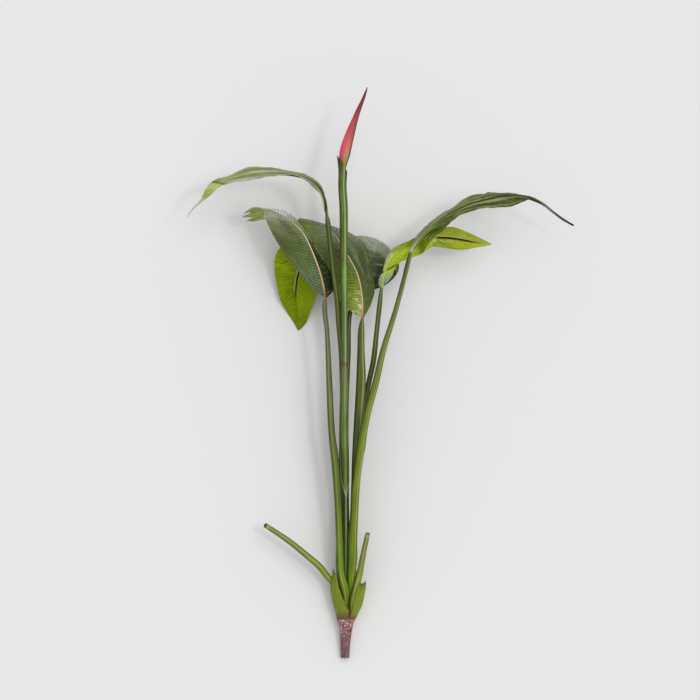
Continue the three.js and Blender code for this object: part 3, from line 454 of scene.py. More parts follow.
BUD_COLOURS = {
    "left": [(0.0, 110, 130, 60), (0.12, 160, 120, 80), (0.17, 206, 112, 104), (0.23, 232, 80, 124),
             (0.42, 232, 92, 112), (0.58, 196, 72, 84), (0.76, 150, 34, 56), (0.92, 104, 22, 36),
             (1, 40, 50, 42)],
    "right": [(0.0, 98, 126, 30), (0.16, 140, 158, 56), (0.24, 184, 160, 88), (0.32, 222, 120, 98),
              (0.46, 198, 92, 86), (0.66, 164, 70, 72), (0.84, 122, 28, 44), (0.95, 70, 40, 42),
              (1, 40, 50, 42)],
}
STUB_COLOURS = [
    (0, 112, 78, 86), (0.5, 130, 88, 94), (0.72, 160, 108, 108), (0.92, 172, 118, 114), (1, 112, 70, 58),
]
CLASP_COLOURS = {
    "skin": [(0, 112, 70, 62), (0.09, 118, 100, 58), (0.2, 130, 148, 44), (0.7, 126, 152, 20),
             (0.93, 110, 132, 24), (1, 96, 92, 44)],
    "seam": [(0, 116, 58, 48), (0.25, 128, 76, 48), (0.5, 150, 138, 66), (1, 150, 146, 80)],
}


def along(rows, knot):
    """The values beside a knot in a table of rows, each a knot followed by its values."""
    i = min(max(bisect_left(rows, knot, key=lambda row: row[0]) - 1, 0), len(rows) - 2)
    low, high = rows[i:i + 2]
    share = min(max((knot - low[0]) / (high[0] - low[0]), 0), 1)
    return [a + (b - a) * share for a, b in zip(low[1:], high[1:])]


def smooth(points):
    """A smooth curve through lists of numbers, spaced by the length of their first three."""
    knots = [0]
    for a, b in zip(points, points[1:]):
        knots.append(knots[-1] + math.dist(a[:3], b[:3]))
    spans = [b - a for a, b in zip(knots, knots[1:])]
    slopes = [[(q - p) / span for p, q in zip(a, b)] for a, b, span in zip(points, points[1:], spans)]
    tangents = [slopes[0]]
    for i in range(1, len(slopes)):
        tangents.append([(a * spans[i] + b * spans[i - 1]) / (spans[i - 1] + spans[i])
                         for a, b in zip(slopes[i - 1], slopes[i])])
    tangents.append(slopes[-1])

    def at(place):
        i = min(int(place), len(spans) - 1)
        t = place - i
        a = (2 * t - 3) * t * t + 1
        b = ((t - 2) * t + 1) * t * spans[i]
        c = (3 - 2 * t) * t * t
        d = (t - 1) * t * t * spans[i]
        return [a * p + b * r + c * q + d * f
                for p, q, r, f in zip(points[i], points[i + 1], tangents[i], tangents[i + 1])]

    return at


def finer(places, steps=5):
    """The same path with more places on it."""
    curve = smooth(places)
    return [curve(i / steps) for i in range((len(places) - 1) * steps + 1)]


def wave(seed, length, scale):
    """A gentle random swing from -1 to 1 along a length."""
    return noise.noise(Vector((length / scale, seed * 7.3, 0.5)))


def add_object(name, data):
    thing = bpy.data.objects.new(name, data)
    bpy.context.scene.collection.objects.link(thing)
    return thing


def keep_values(data, values):
    """Named numbers on the points of a mesh, for finishes and nodes to read."""
    for name, numbers in values.items():
        data.attributes.new(name, "FLOAT", "POINT").data.foreach_set("value", numbers)


def hand_over(thing, node):
    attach(thing, "root")
    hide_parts(node)


class Skin:
    """The points, faces and kept values of one piece."""

    def __init__(self):
        self.points, self.faces, self.values = [], [], {}

    def add(self, point, **values):
        point.z = max(point.z, LOWEST)
        self.points.append(point)
        for name, value in values.items():
            self.values.setdefault(name, []).append(value)
        return len(self.points) - 1

    def sheet(self, rows, closed=False):
        """Faces between rows of point numbers."""
        count = len(rows[0])
        for a, b in zip(rows, rows[1:]):
            for k in range(count if closed else count - 1):
                n = (k + 1) % count
                self.faces.append((a[k], a[n], b[n], b[k]))

    def shell(self, steps, columns, corners, closed=False):
        """A thin wall; corners gives its outer and inner point and the values kept at both."""
        outer, inner = [], []
        for j in range(steps + 1):
            outer.append([])
            inner.append([])
            for column in columns:
                *pair, values = corners(j / steps, column)
                for rows, point, face in zip((outer, inner), pair, (1.0, -1.0)):
                    rows[-1].append(self.add(point, face=face, **values))
        for rows in (outer, inner, [outer[0], inner[0]], [outer[-1], inner[-1]]):
            self.sheet(rows, closed)
        for side in () if closed else (0, -1):
            self.sheet([[row[side] for row in outer], [row[side] for row in inner]])

    def piece(self, name, finish, node, slot):
        """Hands over the mesh, with all its faces turned outward."""
        data = bpy.data.meshes.new(name)
        data.from_pydata([(point + PLACE_IN_FRAME) * MM for point in self.points], [], self.faces)
        outward = bmesh.new()
        outward.from_mesh(data)
        bmesh.ops.recalc_face_normals(outward, faces=outward.faces)
        outward.to_mesh(data)
        outward.free()
        keep_values(data, self.values)
        data.validate()
        data.shade_smooth()
        data.set_sharp_from_angle(angle=math.radians(50))
        data.materials.append(finish)
        hand_over(add_object(name, data), node)


def around(count):
    """The angles of a ring's points, from the left over the top."""
    return [math.pi - (k + 0.5) * 2 * math.pi / count for k in range(count)]


def frame_for(heading):
    side = heading.cross(UP).normalized()
    return side, side.cross(heading).normalized()


def tube(skin, places, count=STALK_SIDES, section=None, level=False, open_end=False):
    """A closed skin over [x, y, height, half width, half depth] places."""
    centres = [Vector(place[:3]) for place in places]
    lengths = [0]
    for a, b in zip(centres, centres[1:]):
        lengths.append(lengths[-1] + (b - a).length)
    rings = []
    for i, (place, centre, length) in enumerate(zip(places, centres, lengths)):
        heading = (centres[min(i + 1, len(centres) - 1)] - centres[max(i - 1, 0)]).normalized()
        side, front = (Vector((1, 0, 0)), UP) if level else frame_for(heading)
        ring = []
        for angle in around(count):
            swell = section(angle, length) if section else 1
            point = centre + side * (math.cos(angle) * place[3] * swell)
            point += front * (math.sin(angle) * place[-1] * swell)
            ring.append(skin.add(point, sideways=math.cos(angle), upwards=math.sin(angle),
                                 length=length, along=length / lengths[-1]))
        rings.append(ring)
    skin.sheet(rings, closed=True)
    skin.faces.append(tuple(rings[0]))
    if not open_end:
        skin.faces.append(tuple(rings[-1]))
    return rings


class Blade:
    """The curved sheet of one leaf, read at a place from foot to tip and a share across it."""

    def __init__(self, leaf):
        self.row = smooth(leaf["rows"])
        self.last = len(leaf["rows"]) - 1
        self.rib_radius, self.rib_end = leaf["rib_radius"], leaf.get("rib_end", RIB_END)
        self.groove = not leaf.get("raised_rib", False)
        self.seed, self.ripple = leaf["seed"], leaf["ripple"]
        self.sweep, self.spacing = leaf["vein_sweep"], leaf.get("vein_spacing", VEIN_SPACING)
        self.cut = leaf.get("tip_cut", [[-1, 0], [1, 0]])
        self.torn = 0.05 + 1.2 * max(depth for _, depth in self.cut)
        self.lengths = [[0, 0]]
        for step in range(1, self.last * BLADE_STEPS + 1):
            a, b = (Vector(self.row(i / BLADE_STEPS)[:3]) for i in (step - 1, step))
            self.lengths.append([step / BLADE_STEPS, self.lengths[-1][1] + (b - a).length])
        self.places = [[length, place] for place, length in self.lengths]
        self.length = self.lengths[-1][1]

    def length_at(self, place):
        return along(self.lengths, place)[0]

    def place_at(self, length):
        return along(self.places, length)[0]

    def radius(self, place):
        left = 1 - min(max(place / self.last, 0), 1)
        return self.rib_end + (self.rib_radius - self.rib_end) * left ** 1.9

    def bend(self, across, width):
        """How much further up the leaf a side vein is than where it left the midrib."""
        return self.sweep * abs(across) ** 1.6 * min(1, width / 30)

    def cross(self, place):
        """The midrib, the ways to both edges, the normals of both halves and the midrib's own."""
        values = self.row(min(max(place, 0), self.last))
        rib, *ways = (Vector(values[k:k + 3]) for k in (0, 3, 6))
        before = Vector(self.row(max(place - 0.25, 0))[:3])
        after = Vector(self.row(min(place + 0.25, self.last))[:3])
        heading = (after - before).normalized()
        normals = (heading.cross(ways[0]).normalized(), ways[1].cross(heading).normalized())
        return rib, ways, normals, (normals[0] + normals[1]).normalized()

    def spot(self, place, across, section=None):
        """A point of the middle sheet, its normal, its distance from the midrib and the width."""
        rib, ways, normals, rib_normal = section or self.cross(place)
        half, share = (0 if across < 0 else 1), abs(across)
        way, normal, width = ways[half], normals[half], ways[half].length
        fade = min(1, share / RIB_FADE)
        point = rib + way * share + normal * (BLADE_ARCH * width * 4 * share * (1 - share))
        distance = width * share
        if self.groove:
            radius = self.radius(place)
            dip = math.exp(-(distance / (GROOVE_WIDTH * radius)) ** 2)
            point -= rib_normal * GROOVE_DEPTH * radius * dip
        length = self.length_at(place)
        sway = sum(wave(self.seed + half + 5 * k, length, scale) * share_of_sway
                   for k, (scale, share_of_sway) in enumerate(EDGE_WAVES))
        point += normal * self.ripple * min(1, width / 12) * share ** 3 * sway
        return point, (rib_normal * (1 - fade) + normal * fade).normalized(), distance, width

    def skin(self):
        skin = Skin()
        widest = max(way.length for step in range(2 * self.last + 1) for way in self.cross(step / 2)[1])
        half = max(int(widest / GRID), 8)
        shares = [math.copysign(abs(k / half) ** 1.12, k) for k in range(-half, half + 1)]

        def corners(upward, share):
            end = self.last - along(self.cut, share)[0]
            place = self.place_at(self.length_at(end) * upward)
            point, normal, distance, width = self.spot(place, share)
            length = self.length_at(place)
            thick = normal * (BLADE_MIDDLE + (BLADE_EDGE - BLADE_MIDDLE) * abs(share))
            upper = point + thick
            upper.z = max(upper.z, UPPER_LOWEST)
            return upper, point - thick, {
                "across": share, "along": length / self.length, "rib": distance,
                "vein": (length - self.bend(share, width)) / self.spacing}

        skin.shell(max(int(self.length / GRID), 12), shares, corners)
        return skin

    def vein_lines(self, name):
        """One open line for each side vein, with its thickness kept as taper."""
        points, edges, values = [], [], {"taper": [], "along": []}
        for half in (-1, 1):
            for number in range(1, math.ceil(self.length / self.spacing)):
                foot = number * self.spacing
                for step in range(VEIN_START, VEIN_STEPS):
                    share = half * step / VEIN_STEPS
                    place = self.place_at(foot)
                    for _ in range(2):
                        width = self.cross(place)[1][0 if half < 0 else 1].length
                        place = self.place_at(foot + self.bend(share, width))
                    if width < VEIN_NARROWEST or place >= self.last - self.torn:
                        break
                    point = self.spot(place, share)[0]
                    point.z = max(point.z, VEIN_LOWEST)
                    if step > VEIN_START:
                        edges.append((len(points) - 1, len(points)))
                    points.append((point + PLACE_IN_FRAME) * MM)
                    values["taper"].append(1.15 - 0.75 * abs(share))
                    values["along"].append(self.length_at(place) / self.length)
        data = bpy.data.meshes.new(name)
        data.from_pydata(points, edges, [])
        keep_values(data, values)
        return data

    def rib_places(self, stalk):
        """The places of the stalk and of the midrib that carries it on through the blade."""
        places = [place[:4] + [place[-1]] for place in stalk]
        sink = 0.95 if self.groove else -0.1    # under the groove, or out of the blade
        for i in range(self.last + 1):
            rib, _, _, normal = self.cross(i)
            radius = self.radius(i)
            centre = rib - normal * radius * sink * min(1, i / 1.5)
            centre.z = max(centre.z, radius * 0.8)
            places.append([*centre, radius, radius])
        return places


def add_node(tree, kind, inputs, **settings):
    """A node with its settings made and each input set, or linked to the socket that feeds it."""
    node = tree.nodes.new(kind)
    for key, value in settings.items():
        setattr(node, key, value)
    for key, value in inputs.items():
        if isinstance(value, bpy.types.NodeSocket):
            tree.links.new(value, node.inputs[key])
        else:
            node.inputs[key].default_value = value
    return node


def vein_tree(name, finish):
    """Turns lines on a blade into raised veins."""
    tree = bpy.data.node_groups.new(name, "GeometryNodeTree")

    def socket(label, kind, way="INPUT"):
        return tree.interface.new_socket(
            label, in_out=way, socket_type="NodeSocket" + kind).identifier

    def number(sockets, label):
        return next(s for s in sockets if s.name == label and s.type == "VALUE")

    def node(kind, inputs, **settings):
        return add_node(tree, kind, inputs, **settings)

    def times(a, b):
        return node("ShaderNodeMath", {0: a, 1: b}, operation="MULTIPLY").outputs[0]

    socket("Lines", "Geometry")
    keys = {label: socket(label, kind) for label, kind in (
        ("Vein radius", "Float"), ("Unevenness", "Float"), ("Sides", "Int"), ("Seed", "Int"))}
    socket("Veins", "Geometry", "OUTPUT")
    start = node("NodeGroupInput", {}).outputs
    curve = node("GeometryNodeMeshToCurve", {0: start["Lines"]})
    taper = node("GeometryNodeInputNamedAttribute", {"Name": "taper"}, data_type="FLOAT")
    low = node("ShaderNodeMath", {0: 1, 1: start["Unevenness"]}, operation="SUBTRACT")
    swing = node("FunctionNodeRandomValue", {"Seed": start["Seed"]}, data_type="FLOAT")
    tree.links.new(low.outputs[0], number(swing.inputs, "Min"))
    number(swing.inputs, "Max").default_value = 1
    size = times(times(number(taper.outputs, "Attribute"), number(swing.outputs, "Value")),
                 start["Vein radius"])
    ring = node("GeometryNodeCurvePrimitiveCircle", {"Resolution": start["Sides"], "Radius": 1})
    sweep = node("GeometryNodeCurveToMesh", {
        "Curve": curve.outputs[0], "Profile Curve": ring.outputs[0], "Scale": size, "Fill Caps": True})
    solid = node("GeometryNodeRealizeInstances", {0: sweep.outputs[0]})
    coat = node("GeometryNodeSetMaterial", {"Geometry": solid.outputs[0], "Material": finish})
    node("NodeGroupOutput", {0: coat.outputs[0]})
    return tree, keys


def raised_veins(name, blade, finish):
    """The side veins of a leaf as one plain mesh."""
    thing = add_object(name, blade.vein_lines(name + "_lines"))
    tree, keys = vein_tree(name + "_tree", finish)
    grown = thing.modifiers.new("veins", "NODES")
    grown.node_group = tree
    grown[keys["Vein radius"]] = VEIN_RADIUS * MM
    grown[keys["Unevenness"]] = 0.25
    grown[keys["Sides"]] = 6
    grown[keys["Seed"]] = blade.seed
    data = bpy.data.meshes.new_from_object(
        thing.evaluated_get(bpy.context.evaluated_depsgraph_get()))
    data.name = name
    thing.modifiers.remove(grown)
    thing.data = data
    if not data.materials:
        data.materials.append(finish)
    data.shade_smooth()
    return thing


def tone(red, green, blue):
    """A colour as it looks on a screen, from 0 to 255, turned into light."""
    def light(value):
        value /= 255
        return value / 12.92 if value <= 0.04045 else ((value + 0.055) / 1.055) ** 2.4
    return (light(red), light(green), light(blue), 1)


class Value:
    """A number, place or colour inside a finish, with plain arithmetic."""

    def __init__(self, finish, socket):
        self.finish, self.socket = finish, socket

    def math(self, operation, *others, clamp=False):
        return self.finish.node("Math", dict(enumerate((self, *others))), operation=operation,
                                use_clamp=clamp)

    def __add__(self, other):
        return self.math("ADD", other)

    def __sub__(self, other):
        return self.math("SUBTRACT", other)

    def __mul__(self, other):
        return self.math("MULTIPLY", other)

    def __abs__(self):
        return self.math("ABSOLUTE")

    def span(self, low, high, first=0.0, last=1.0):
        """Eased from first to last between low and high."""
        return self.finish.node("MapRange", {
            "Value": self, "From Min": low, "From Max": high, "To Min": first, "To Max": last},
            interpolation_type="SMOOTHSTEP")


class Finish:
    """A procedural surface: a colour with tints laid over it one by one, read from kept values."""

    def __init__(self, name, roughness=0.4, gloss=0.3, glow=0.0):
        self.material = bpy.data.materials.new(name)
        self.material.use_nodes = True
        self.tree = self.material.node_tree
        self.shader = self.tree.nodes["Principled BSDF"].inputs
        self.shader["Roughness"].default_value = roughness
        self.shader["Specular IOR Level"].default_value = gloss
        self.shader["Subsurface Weight"].default_value = glow
        self.shader["Subsurface Scale"].default_value = 0.004
        self.place = self.node("TexCoord", {}, "Object")
        self.colour = None

    def node(self, kind, inputs, output=0, **settings):
        plain = {}
        for key, value in inputs.items():
            value = value.socket if isinstance(value, Value) else value
            plain[key] = tone(*value) if isinstance(value, tuple) else value
        made = add_node(self.tree, "ShaderNode" + kind, plain, **settings)
        return Value(self, made.outputs[output])

    def feed(self, key, value):
        self.tree.links.new(value.socket, self.shader[key])

    def value(self, name):
        return self.node("Attribute", {}, "Fac", attribute_name=name)

    def join(self, x, y, z):
        return self.node("CombineXYZ", {0: x, 1: y, 2: z})

    def noise(self, place, scale, detail, roughness):
        return self.node("TexNoise", {"Vector": place, "Scale": scale, "Detail": detail,
                                      "Roughness": roughness}, "Fac")

    def fibres(self, across, lengthwise, *noise_values):
        """Fine strands that run along a piece."""
        return self.noise(self.join(
            self.value("sideways") * across, self.value("upwards") * across,
            self.value("length") * lengthwise), *noise_values)

    def swayed(self, mottle, swing):
        """The share from foot to tip, shifted a little from place to place."""
        return self.value("along").math("ADD", mottle * swing - swing / 2, clamp=True)

    def ramp(self, factor, stops):
        made = self.node("ValToRGB", {0: factor})
        ramp = made.socket.node.color_ramp
        ramp.interpolation = "EASE"
        while len(ramp.elements) < len(stops):
            ramp.elements.new(0.5)
        for element, (place, *colour) in zip(ramp.elements, stops):
            element.position = place
            element.color = tone(*colour)
        return made

    def mix(self, factor, a, b):
        return self.node("Mix", {0: factor, 6: a, 7: b}, 2, data_type="RGBA")

    def tint(self, factor, colour):
        """Lays a colour over what is there, as far as the factor says."""
        self.colour = self.mix(factor, self.colour, colour)

    def straight_line_mask(self, start, stop, half):
        """A short straight mark between two places of the tables."""
        reach = math.dist(start, stop)
        across, upward = ((stop[k] - start[k]) / reach for k in (0, 1))
        x, y = (self.node("SeparateXYZ", {0: self.place}, k) * (1 / MM) - (PLACE_IN_FRAME[k] + start[k])
                for k in (0, 1))
        far = x * across + (y * upward - reach / 2)
        aside = y * across - x * upward
        return abs(aside).span(half, half * 0.4) * abs(far).span(reach / 2, reach * 0.4)

    def relief(self, height, strength, distance):
        self.feed("Normal", self.node("Bump", {
            "Strength": strength, "Distance": distance * MM, "Height": height}))

    def done(self, roughness=None):
        self.feed("Base Color", self.colour)
        if roughness is not None:
            self.feed("Roughness", roughness)
        return self.material


def leaf_finish(name, paint):
    """Leaf skin: each half's run of colour from foot to tip, with veins, fibres, painted sheen and painted
    shade.
    """
    finish = Finish(name, gloss=paint.get("gloss", 0.16), glow=0.05)
    across, upward, vein, face = map(finish.value, ("across", "along", "vein", "face"))
    mottle = finish.noise(finish.place, 45, 5, 0.6)
    lengthwise = finish.swayed(mottle, 0.16)
    finish.colour = finish.mix(across.span(-0.04, 0.04), finish.ramp(lengthwise, paint["left"]),
                               finish.ramp(lengthwise, paint["right"]))
    # A fold drawn in paint: beyond a slanted line across the blade the colour changes
    if "fold" in paint:
        fold, slant, beyond = paint["fold"]
        place = across * slant + upward
        ahead = place.span(fold - 0.003, fold + 0.003)
        if "fold_end" in paint:
            ahead *= place.span(paint["fold_end"], fold + 0.04)
        finish.tint(ahead, beyond)
    if "rim_left" in paint:
        finish.tint(across.span(-0.7, -0.98, 0, 0.85), paint["rim_left"])
    fibres = finish.noise(finish.join(across * 1.6, vein * 3.1, face), 1.0, 4, 0.65)
    streak = finish.noise(finish.join(across * 1.5, vein * paint.get("streak_width", 1.1), 4.0),
                          1.0, 3, 0.5)
    finish.tint(fibres.span(0.35, 0.62, 0, paint.get("fibre", 0.4)), paint["dark"])
    finish.tint(streak.span(0.52, 0.72, 0, paint["streak"]), paint["light"])
    # Lengthwise bands of painted sheen and painted shade
    if "long" in paint:
        sheen_and_shade_strands = finish.noise(finish.join(across * 4.5, upward * 3.0, 7.0), 1.0, 4, 0.7)
        strength = paint["long"]
        if "plain" in paint:
            strength = abs(upward - paint["plain"]).span(0.05, 0.11, 0, strength)
        finish.tint(sheen_and_shade_strands.span(0.52, 0.6) * strength, paint["light"])
        finish.tint(sheen_and_shade_strands.span(0.47, 0.4) * strength, paint["dark"])
    line = vein.math("PINGPONG", 0.5).span(paint.get("line_width", 0.2), 0.0)
    if "line_end" in paint:
        line *= upward.span(paint["line_end"], paint["line_end"] - 0.1)
    line *= mottle.span(0.3, 0.65, 0.35, 1.0)
    finish.tint(line * paint["line"], paint["vein"])
    # Painted shade along the fold line
    if "fold" in paint:
        crease_shade = abs(place - fold).span(0.012, 0.002)
        finish.tint(crease_shade * paint.get("crease_shade", 0.75), paint["dark"])
    # Spots of painted sheen near the foot of the left half
    if "sheen_patch" in paint:
        shine, reach = paint["sheen_patch"]
        sheen_patches = finish.noise(finish.place, 130, 2, 0.4).span(0.52, 0.6)
        finish.tint(sheen_patches * upward.span(reach, reach - 0.16) * across.span(0.0, -0.1), shine)
    if "foot_flecks" in paint:
        flecks = finish.noise(finish.place, 420, 2, 0.5)
        near_foot = upward.span(0.14, 0.02)
        finish.tint(flecks.span(0.4, 0.44) * near_foot, (54, 104, 84))
        finish.tint(flecks.span(0.56, 0.62) * near_foot, paint["foot_flecks"])
    # Straight dark lines; those on leaf_right are painted shade just beyond its fold and below its near
    # lobe
    for start, stop, half, stain_and_shade in paint.get("shade_lines_and_marks", []):
        finish.tint(finish.straight_line_mask(start, stop, half), stain_and_shade)
    finish.tint(face.span(0.0, -0.5) * 0.45, paint["under"])
    # Painted shade in the groove over the midrib, with a painted highlight along one rim
    if "groove" in paint:
        colour, width, start, stop = paint["groove"]
        rib = finish.value("rib")
        if "groove_highlight" in paint:
            highlight_colour, side, end = paint["groove_highlight"]
            reach = width * (1.9 if side > 0 else 3)
            rim = rib.span(reach, reach * 0.75) * across.span(-0.01 * side, 0.01 * side)
            rim *= upward.span(start - 0.02, start + 0.02)
            finish.tint(rim * upward.span(end, end - 0.08), highlight_colour)
        ends = upward.span(start - 0.04, start + 0.02) * upward.span(stop + 0.06, stop - 0.12)
        finish.tint(rib.span(width, width * 0.5) * ends, colour)
    speckle = finish.noise(finish.place, 900, 3, 0.7)
    finish.tint(speckle.span(0.62, 0.75, 0, 0.18), paint["light"])
    finish.relief(fibres * 0.4 + line * -0.8, 0.8, 0.8)
    return finish.done(mottle * 0.3 + (paint.get("roughness", 0.42) - 0.15))


def vein_finish(name, colour, tip):
    finish = Finish(name, 0.5, 0.4)
    mottle = finish.noise(finish.place, 160, 3, 0.55)
    finish.colour = finish.mix(finish.value("along").span(0.2, 0.95), colour, tip)
    finish.tint(mottle.span(0.4, 0.7, 0, 0.5), tip)
    return finish.done()


def stalk_finish(name, stops, bright=(160, 172, 100), left=0.5, right=0.35, highlight_band=(0.25, 0.3, 0.4),
                 rib=None, rib_shade=None, marks=()):
    """Stalk skin: colour along its length, painted shade on the flanks, a band of painted highlight and
    fine fibres.
    """
    finish = Finish(name, gloss=0.24)
    sideways = finish.value("sideways")
    mottle = finish.noise(finish.place, 22, 4, 0.6)
    finish.colour = finish.ramp(finish.swayed(mottle, 0.06), stops)
    fibres = finish.fibres(4.0, 0.012, 1.5, 5, 0.62)
    finish.tint(fibres.span(0.36, 0.6, 0.6, 0), STALK_SHADE)
    finish.tint(fibres.span(0.56, 0.76, 0, 0.6), bright)
    # Painted shade down both flanks, as strong as left and right say
    finish.tint(sideways.span(-0.3, -0.92, 0, left), STALK_SHADE)
    finish.tint(sideways.span(0.55, 0.96, 0, right), STALK_SHADE)
    # A band of painted highlight along the upper side of the stalk
    middle, width, strength = highlight_band
    lit = abs(sideways - middle).span(width, 0.0, 0, strength)
    finish.tint(lit * finish.value("upwards").span(0.0, 0.4), bright)
    if rib:
        blade = finish.value("blade")
        tan = finish.ramp(blade.math("MAXIMUM", 0.0), rib)
        if rib_shade:
            tan = finish.mix(fibres.span(0.45, 0.7, 0, 0.35), tan, (128, 92, 62))
            # Painted shade down the midrib's right side
            tan = finish.mix(sideways.span(0.2, 0.75, 0, 0.8), tan, rib_shade)
        finish.tint(blade.span(-0.012, 0.006), tan)
    for length, reach, side, spread, mark in marks:
        near = abs(finish.value("length") - length).span(reach * 1.2, 0.0)
        beside = abs(sideways - side).span(spread, spread * 0.3)
        finish.tint(near * beside * fibres.span(0.34, 0.5, 0.2, 1.0), mark)
    speckle = finish.noise(finish.place, 700, 3, 0.7)
    finish.tint(speckle.span(0.63, 0.74, 0, 0.35), STALK_SHADE)
    finish.relief(fibres, 0.35, 0.5)
    return finish.done(mottle * 0.25 + 0.22)


def bud_finish():
    finish = Finish("bract_skin", 0.42)
    sideways = finish.value("sideways")
    lengthwise = finish.swayed(finish.noise(finish.place, 60, 4, 0.6), 0.1)
    finish.colour = finish.mix(sideways.span(-0.45, 0.3), finish.ramp(lengthwise, BUD_COLOURS["left"]),
                               finish.ramp(lengthwise, BUD_COLOURS["right"]))
    fibres = finish.fibres(6.0, 0.03, 1.5, 5, 0.65)
    finish.tint(fibres.span(0.4, 0.66, 0.35, 0), (150, 40, 60))
    finish.tint(fibres.span(0.6, 0.8, 0, 0.4), (240, 150, 150))
    seam = abs(sideways - 0.35).span(0.14, 0.02) * lengthwise.span(0.35, 0.6)
    finish.tint(seam * 0.7, (92, 34, 44))
    finish.tint(sideways.span(0.7, 0.84, 0, 0.9), (66, 68, 40))
    finish.tint(sideways.span(-0.9, -0.98, 0, 0.7), (120, 130, 100))
    finish.relief(fibres, 0.4, 0.5)
    return finish.done()


def stub_finish():
    finish = Finish("stub_bark", 0.5)
    upward = finish.value("along")
    mottle = finish.noise(finish.place, 110, 5, 0.65)
    blotch = finish.noise(finish.place, 150, 3, 0.5)
    flecks = finish.noise(finish.place, 330, 2, 0.5)
    fibres = finish.fibres(4.0, 0.08, 1.6, 4, 0.6)
    finish.colour = finish.ramp(upward, STUB_COLOURS)
    finish.tint(mottle.span(0.45, 0.7, 0, 0.4), (182, 140, 140))
    finish.tint(fibres.span(0.46, 0.66, 0, 0.6), (90, 50, 62))
    upper = upward.span(0.3, 0.78)
    finish.tint(upper * blotch.span(0.54, 0.6, 0, 0.85), (92, 34, 40))
    finish.tint(upper * flecks.span(0.58, 0.64, 0, 0.95), (240, 216, 208))
    finish.relief(mottle + fibres, 0.8, 0.9)
    return finish.done()


def clasp_finish():
    finish = Finish("clasp_skin", gloss=0.22)
    upward = finish.value("along")
    lengthwise = finish.swayed(finish.noise(finish.place, 60, 4, 0.6), 0.3)
    stain_and_shade = finish.noise(finish.place, 90, 3, 0.6)
    fibres = finish.fibres(7.0, 0.03, 1.6, 5, 0.62)
    finish.colour = finish.ramp(lengthwise, CLASP_COLOURS["skin"])
    near_seam = finish.value("across").span(-0.86, -0.99)
    finish.tint(near_seam * stain_and_shade.span(0.3, 0.5), finish.ramp(upward, CLASP_COLOURS["seam"]))
    finish.tint(upward.span(0.42, 0.1) * stain_and_shade.span(0.52, 0.66, 0, 0.7), (112, 78, 74))
    finish.tint(upward.span(0.975, 0.998), (52, 44, 26))
    finish.tint(fibres.span(0.4, 0.65, 0.45, 0), (84, 102, 18))
    finish.tint(fibres.span(0.58, 0.8, 0, 0.45), (176, 192, 84))
    finish.relief(fibres, 0.4, 0.5)
    return finish.done()


def channel(place, depth, width, bulge=None):
    """A section with a shallow groove along one side, at a place in degrees from the right.

    A bulge is [distance from the foot, height as a share of the radius, reach along the stalk].
    """
    middle = math.radians(place)

    def swell(angle, length):
        away = math.remainder(angle - middle, 2 * math.pi)
        size = 1 - depth * math.exp(-(away / math.radians(width)) ** 2)
        if bulge:
            start, height, reach = bulge
            beyond = length - start
            fade = math.exp(-(beyond / (reach if beyond > 0 else 0.4 * reach)) ** 2)
            size += height * fade * math.exp(-(math.remainder(angle, 2 * math.pi) / 0.8) ** 2)
        return size

    return swell


def leaf(name, shape, paint):
    blade = Blade(shape)
    blade.skin().piece(name + "_blade", leaf_finish(name + "_skin", paint), name, name)
    ribs = vein_finish(name + "_rib_skin", paint["vein"], paint["dark"])
    hand_over(raised_veins(name + "_veins", blade, ribs), name)
    stalk = Skin()
    tube(stalk, finer(blade.rib_places(shape["stalk"])), section=channel(*shape["channel"]))
    foot = stalk.values["length"][-1] - blade.length
    stalk.values["blade"] = [(length - foot) / blade.length for length in stalk.values["length"]]
    stalk.piece(name + "_stalk", stalk_finish(name + "_stalk_skin", **STALKS[name]), name, name)


def outer_sheath(name, shape, finish):
    columns, steps = 48, 40
    foot = CUP[0][0]

    def corners(upward, share):
        y = foot
        for _ in range(6):
            front, back = along(shape["edges"], y)
            angle = front + (back - front) * share
            y = foot + (along(shape["rim"], angle)[0] - foot) * upward
        x, z, half_width, half_depth = along(CUP, y)
        turn = math.radians(angle)
        cosine, sine = math.cos(turn), math.sin(turn)
        rib = 0.25 * math.cos(turn * 30) * min(1, 3 * (1 - upward))
        insets = (0.3 - rib, SHEATH_WALL + (SHEATH_LIP - SHEATH_WALL) * upward)
        points = [Vector((x + (half_width - inset) * cosine, y, z + (half_depth - inset) * sine))
                  for inset in insets]
        return *points, {"sideways": cosine, "upwards": sine, "length": y - foot, "along": upward,
                         "across": 2 * share - 1}

    skin = Skin()
    skin.shell(steps, [k / columns for k in range(columns + 1)], corners)
    skin.piece(name + "_wrap", finish, name, "outer_sheath")


def flower_sheath(name, shape, finish):
    sections, sides = 60, 40
    core = [[y, x, z, radius] for x, y, z, radius in finer(FLOWER_STALK, 8) + FLOWER_STALK_TOP]
    left, right = shape["mouth"]

    def corners(upward, angle):
        cosine, sine = math.cos(angle), math.sin(angle)
        foot = along(shape["foot"], math.degrees(math.remainder(angle, 2 * math.pi)))[0]
        end = right + (left - right) * (1 - cosine) / 2
        y = foot + (end - foot) * upward
        x, z, core_radius = along(core, y)
        x -= shape["flare"] * max(0, (y - right) / (left - right))
        outer = along(shape["radius"], y)[0]
        sizes = (outer, max(core_radius + SHEATH_GAP, outer - FLOWER_SHEATH_WALL))
        points = [Vector((x + size * cosine, y, z + size * sine)) for size in sizes]
        return *points, {"sideways": cosine, "upwards": sine, "length": y, "along": upward}

    skin = Skin()
    skin.shell(sections, around(sides), corners, closed=True)
    skin.piece(name + "_wrap", finish, name, name)


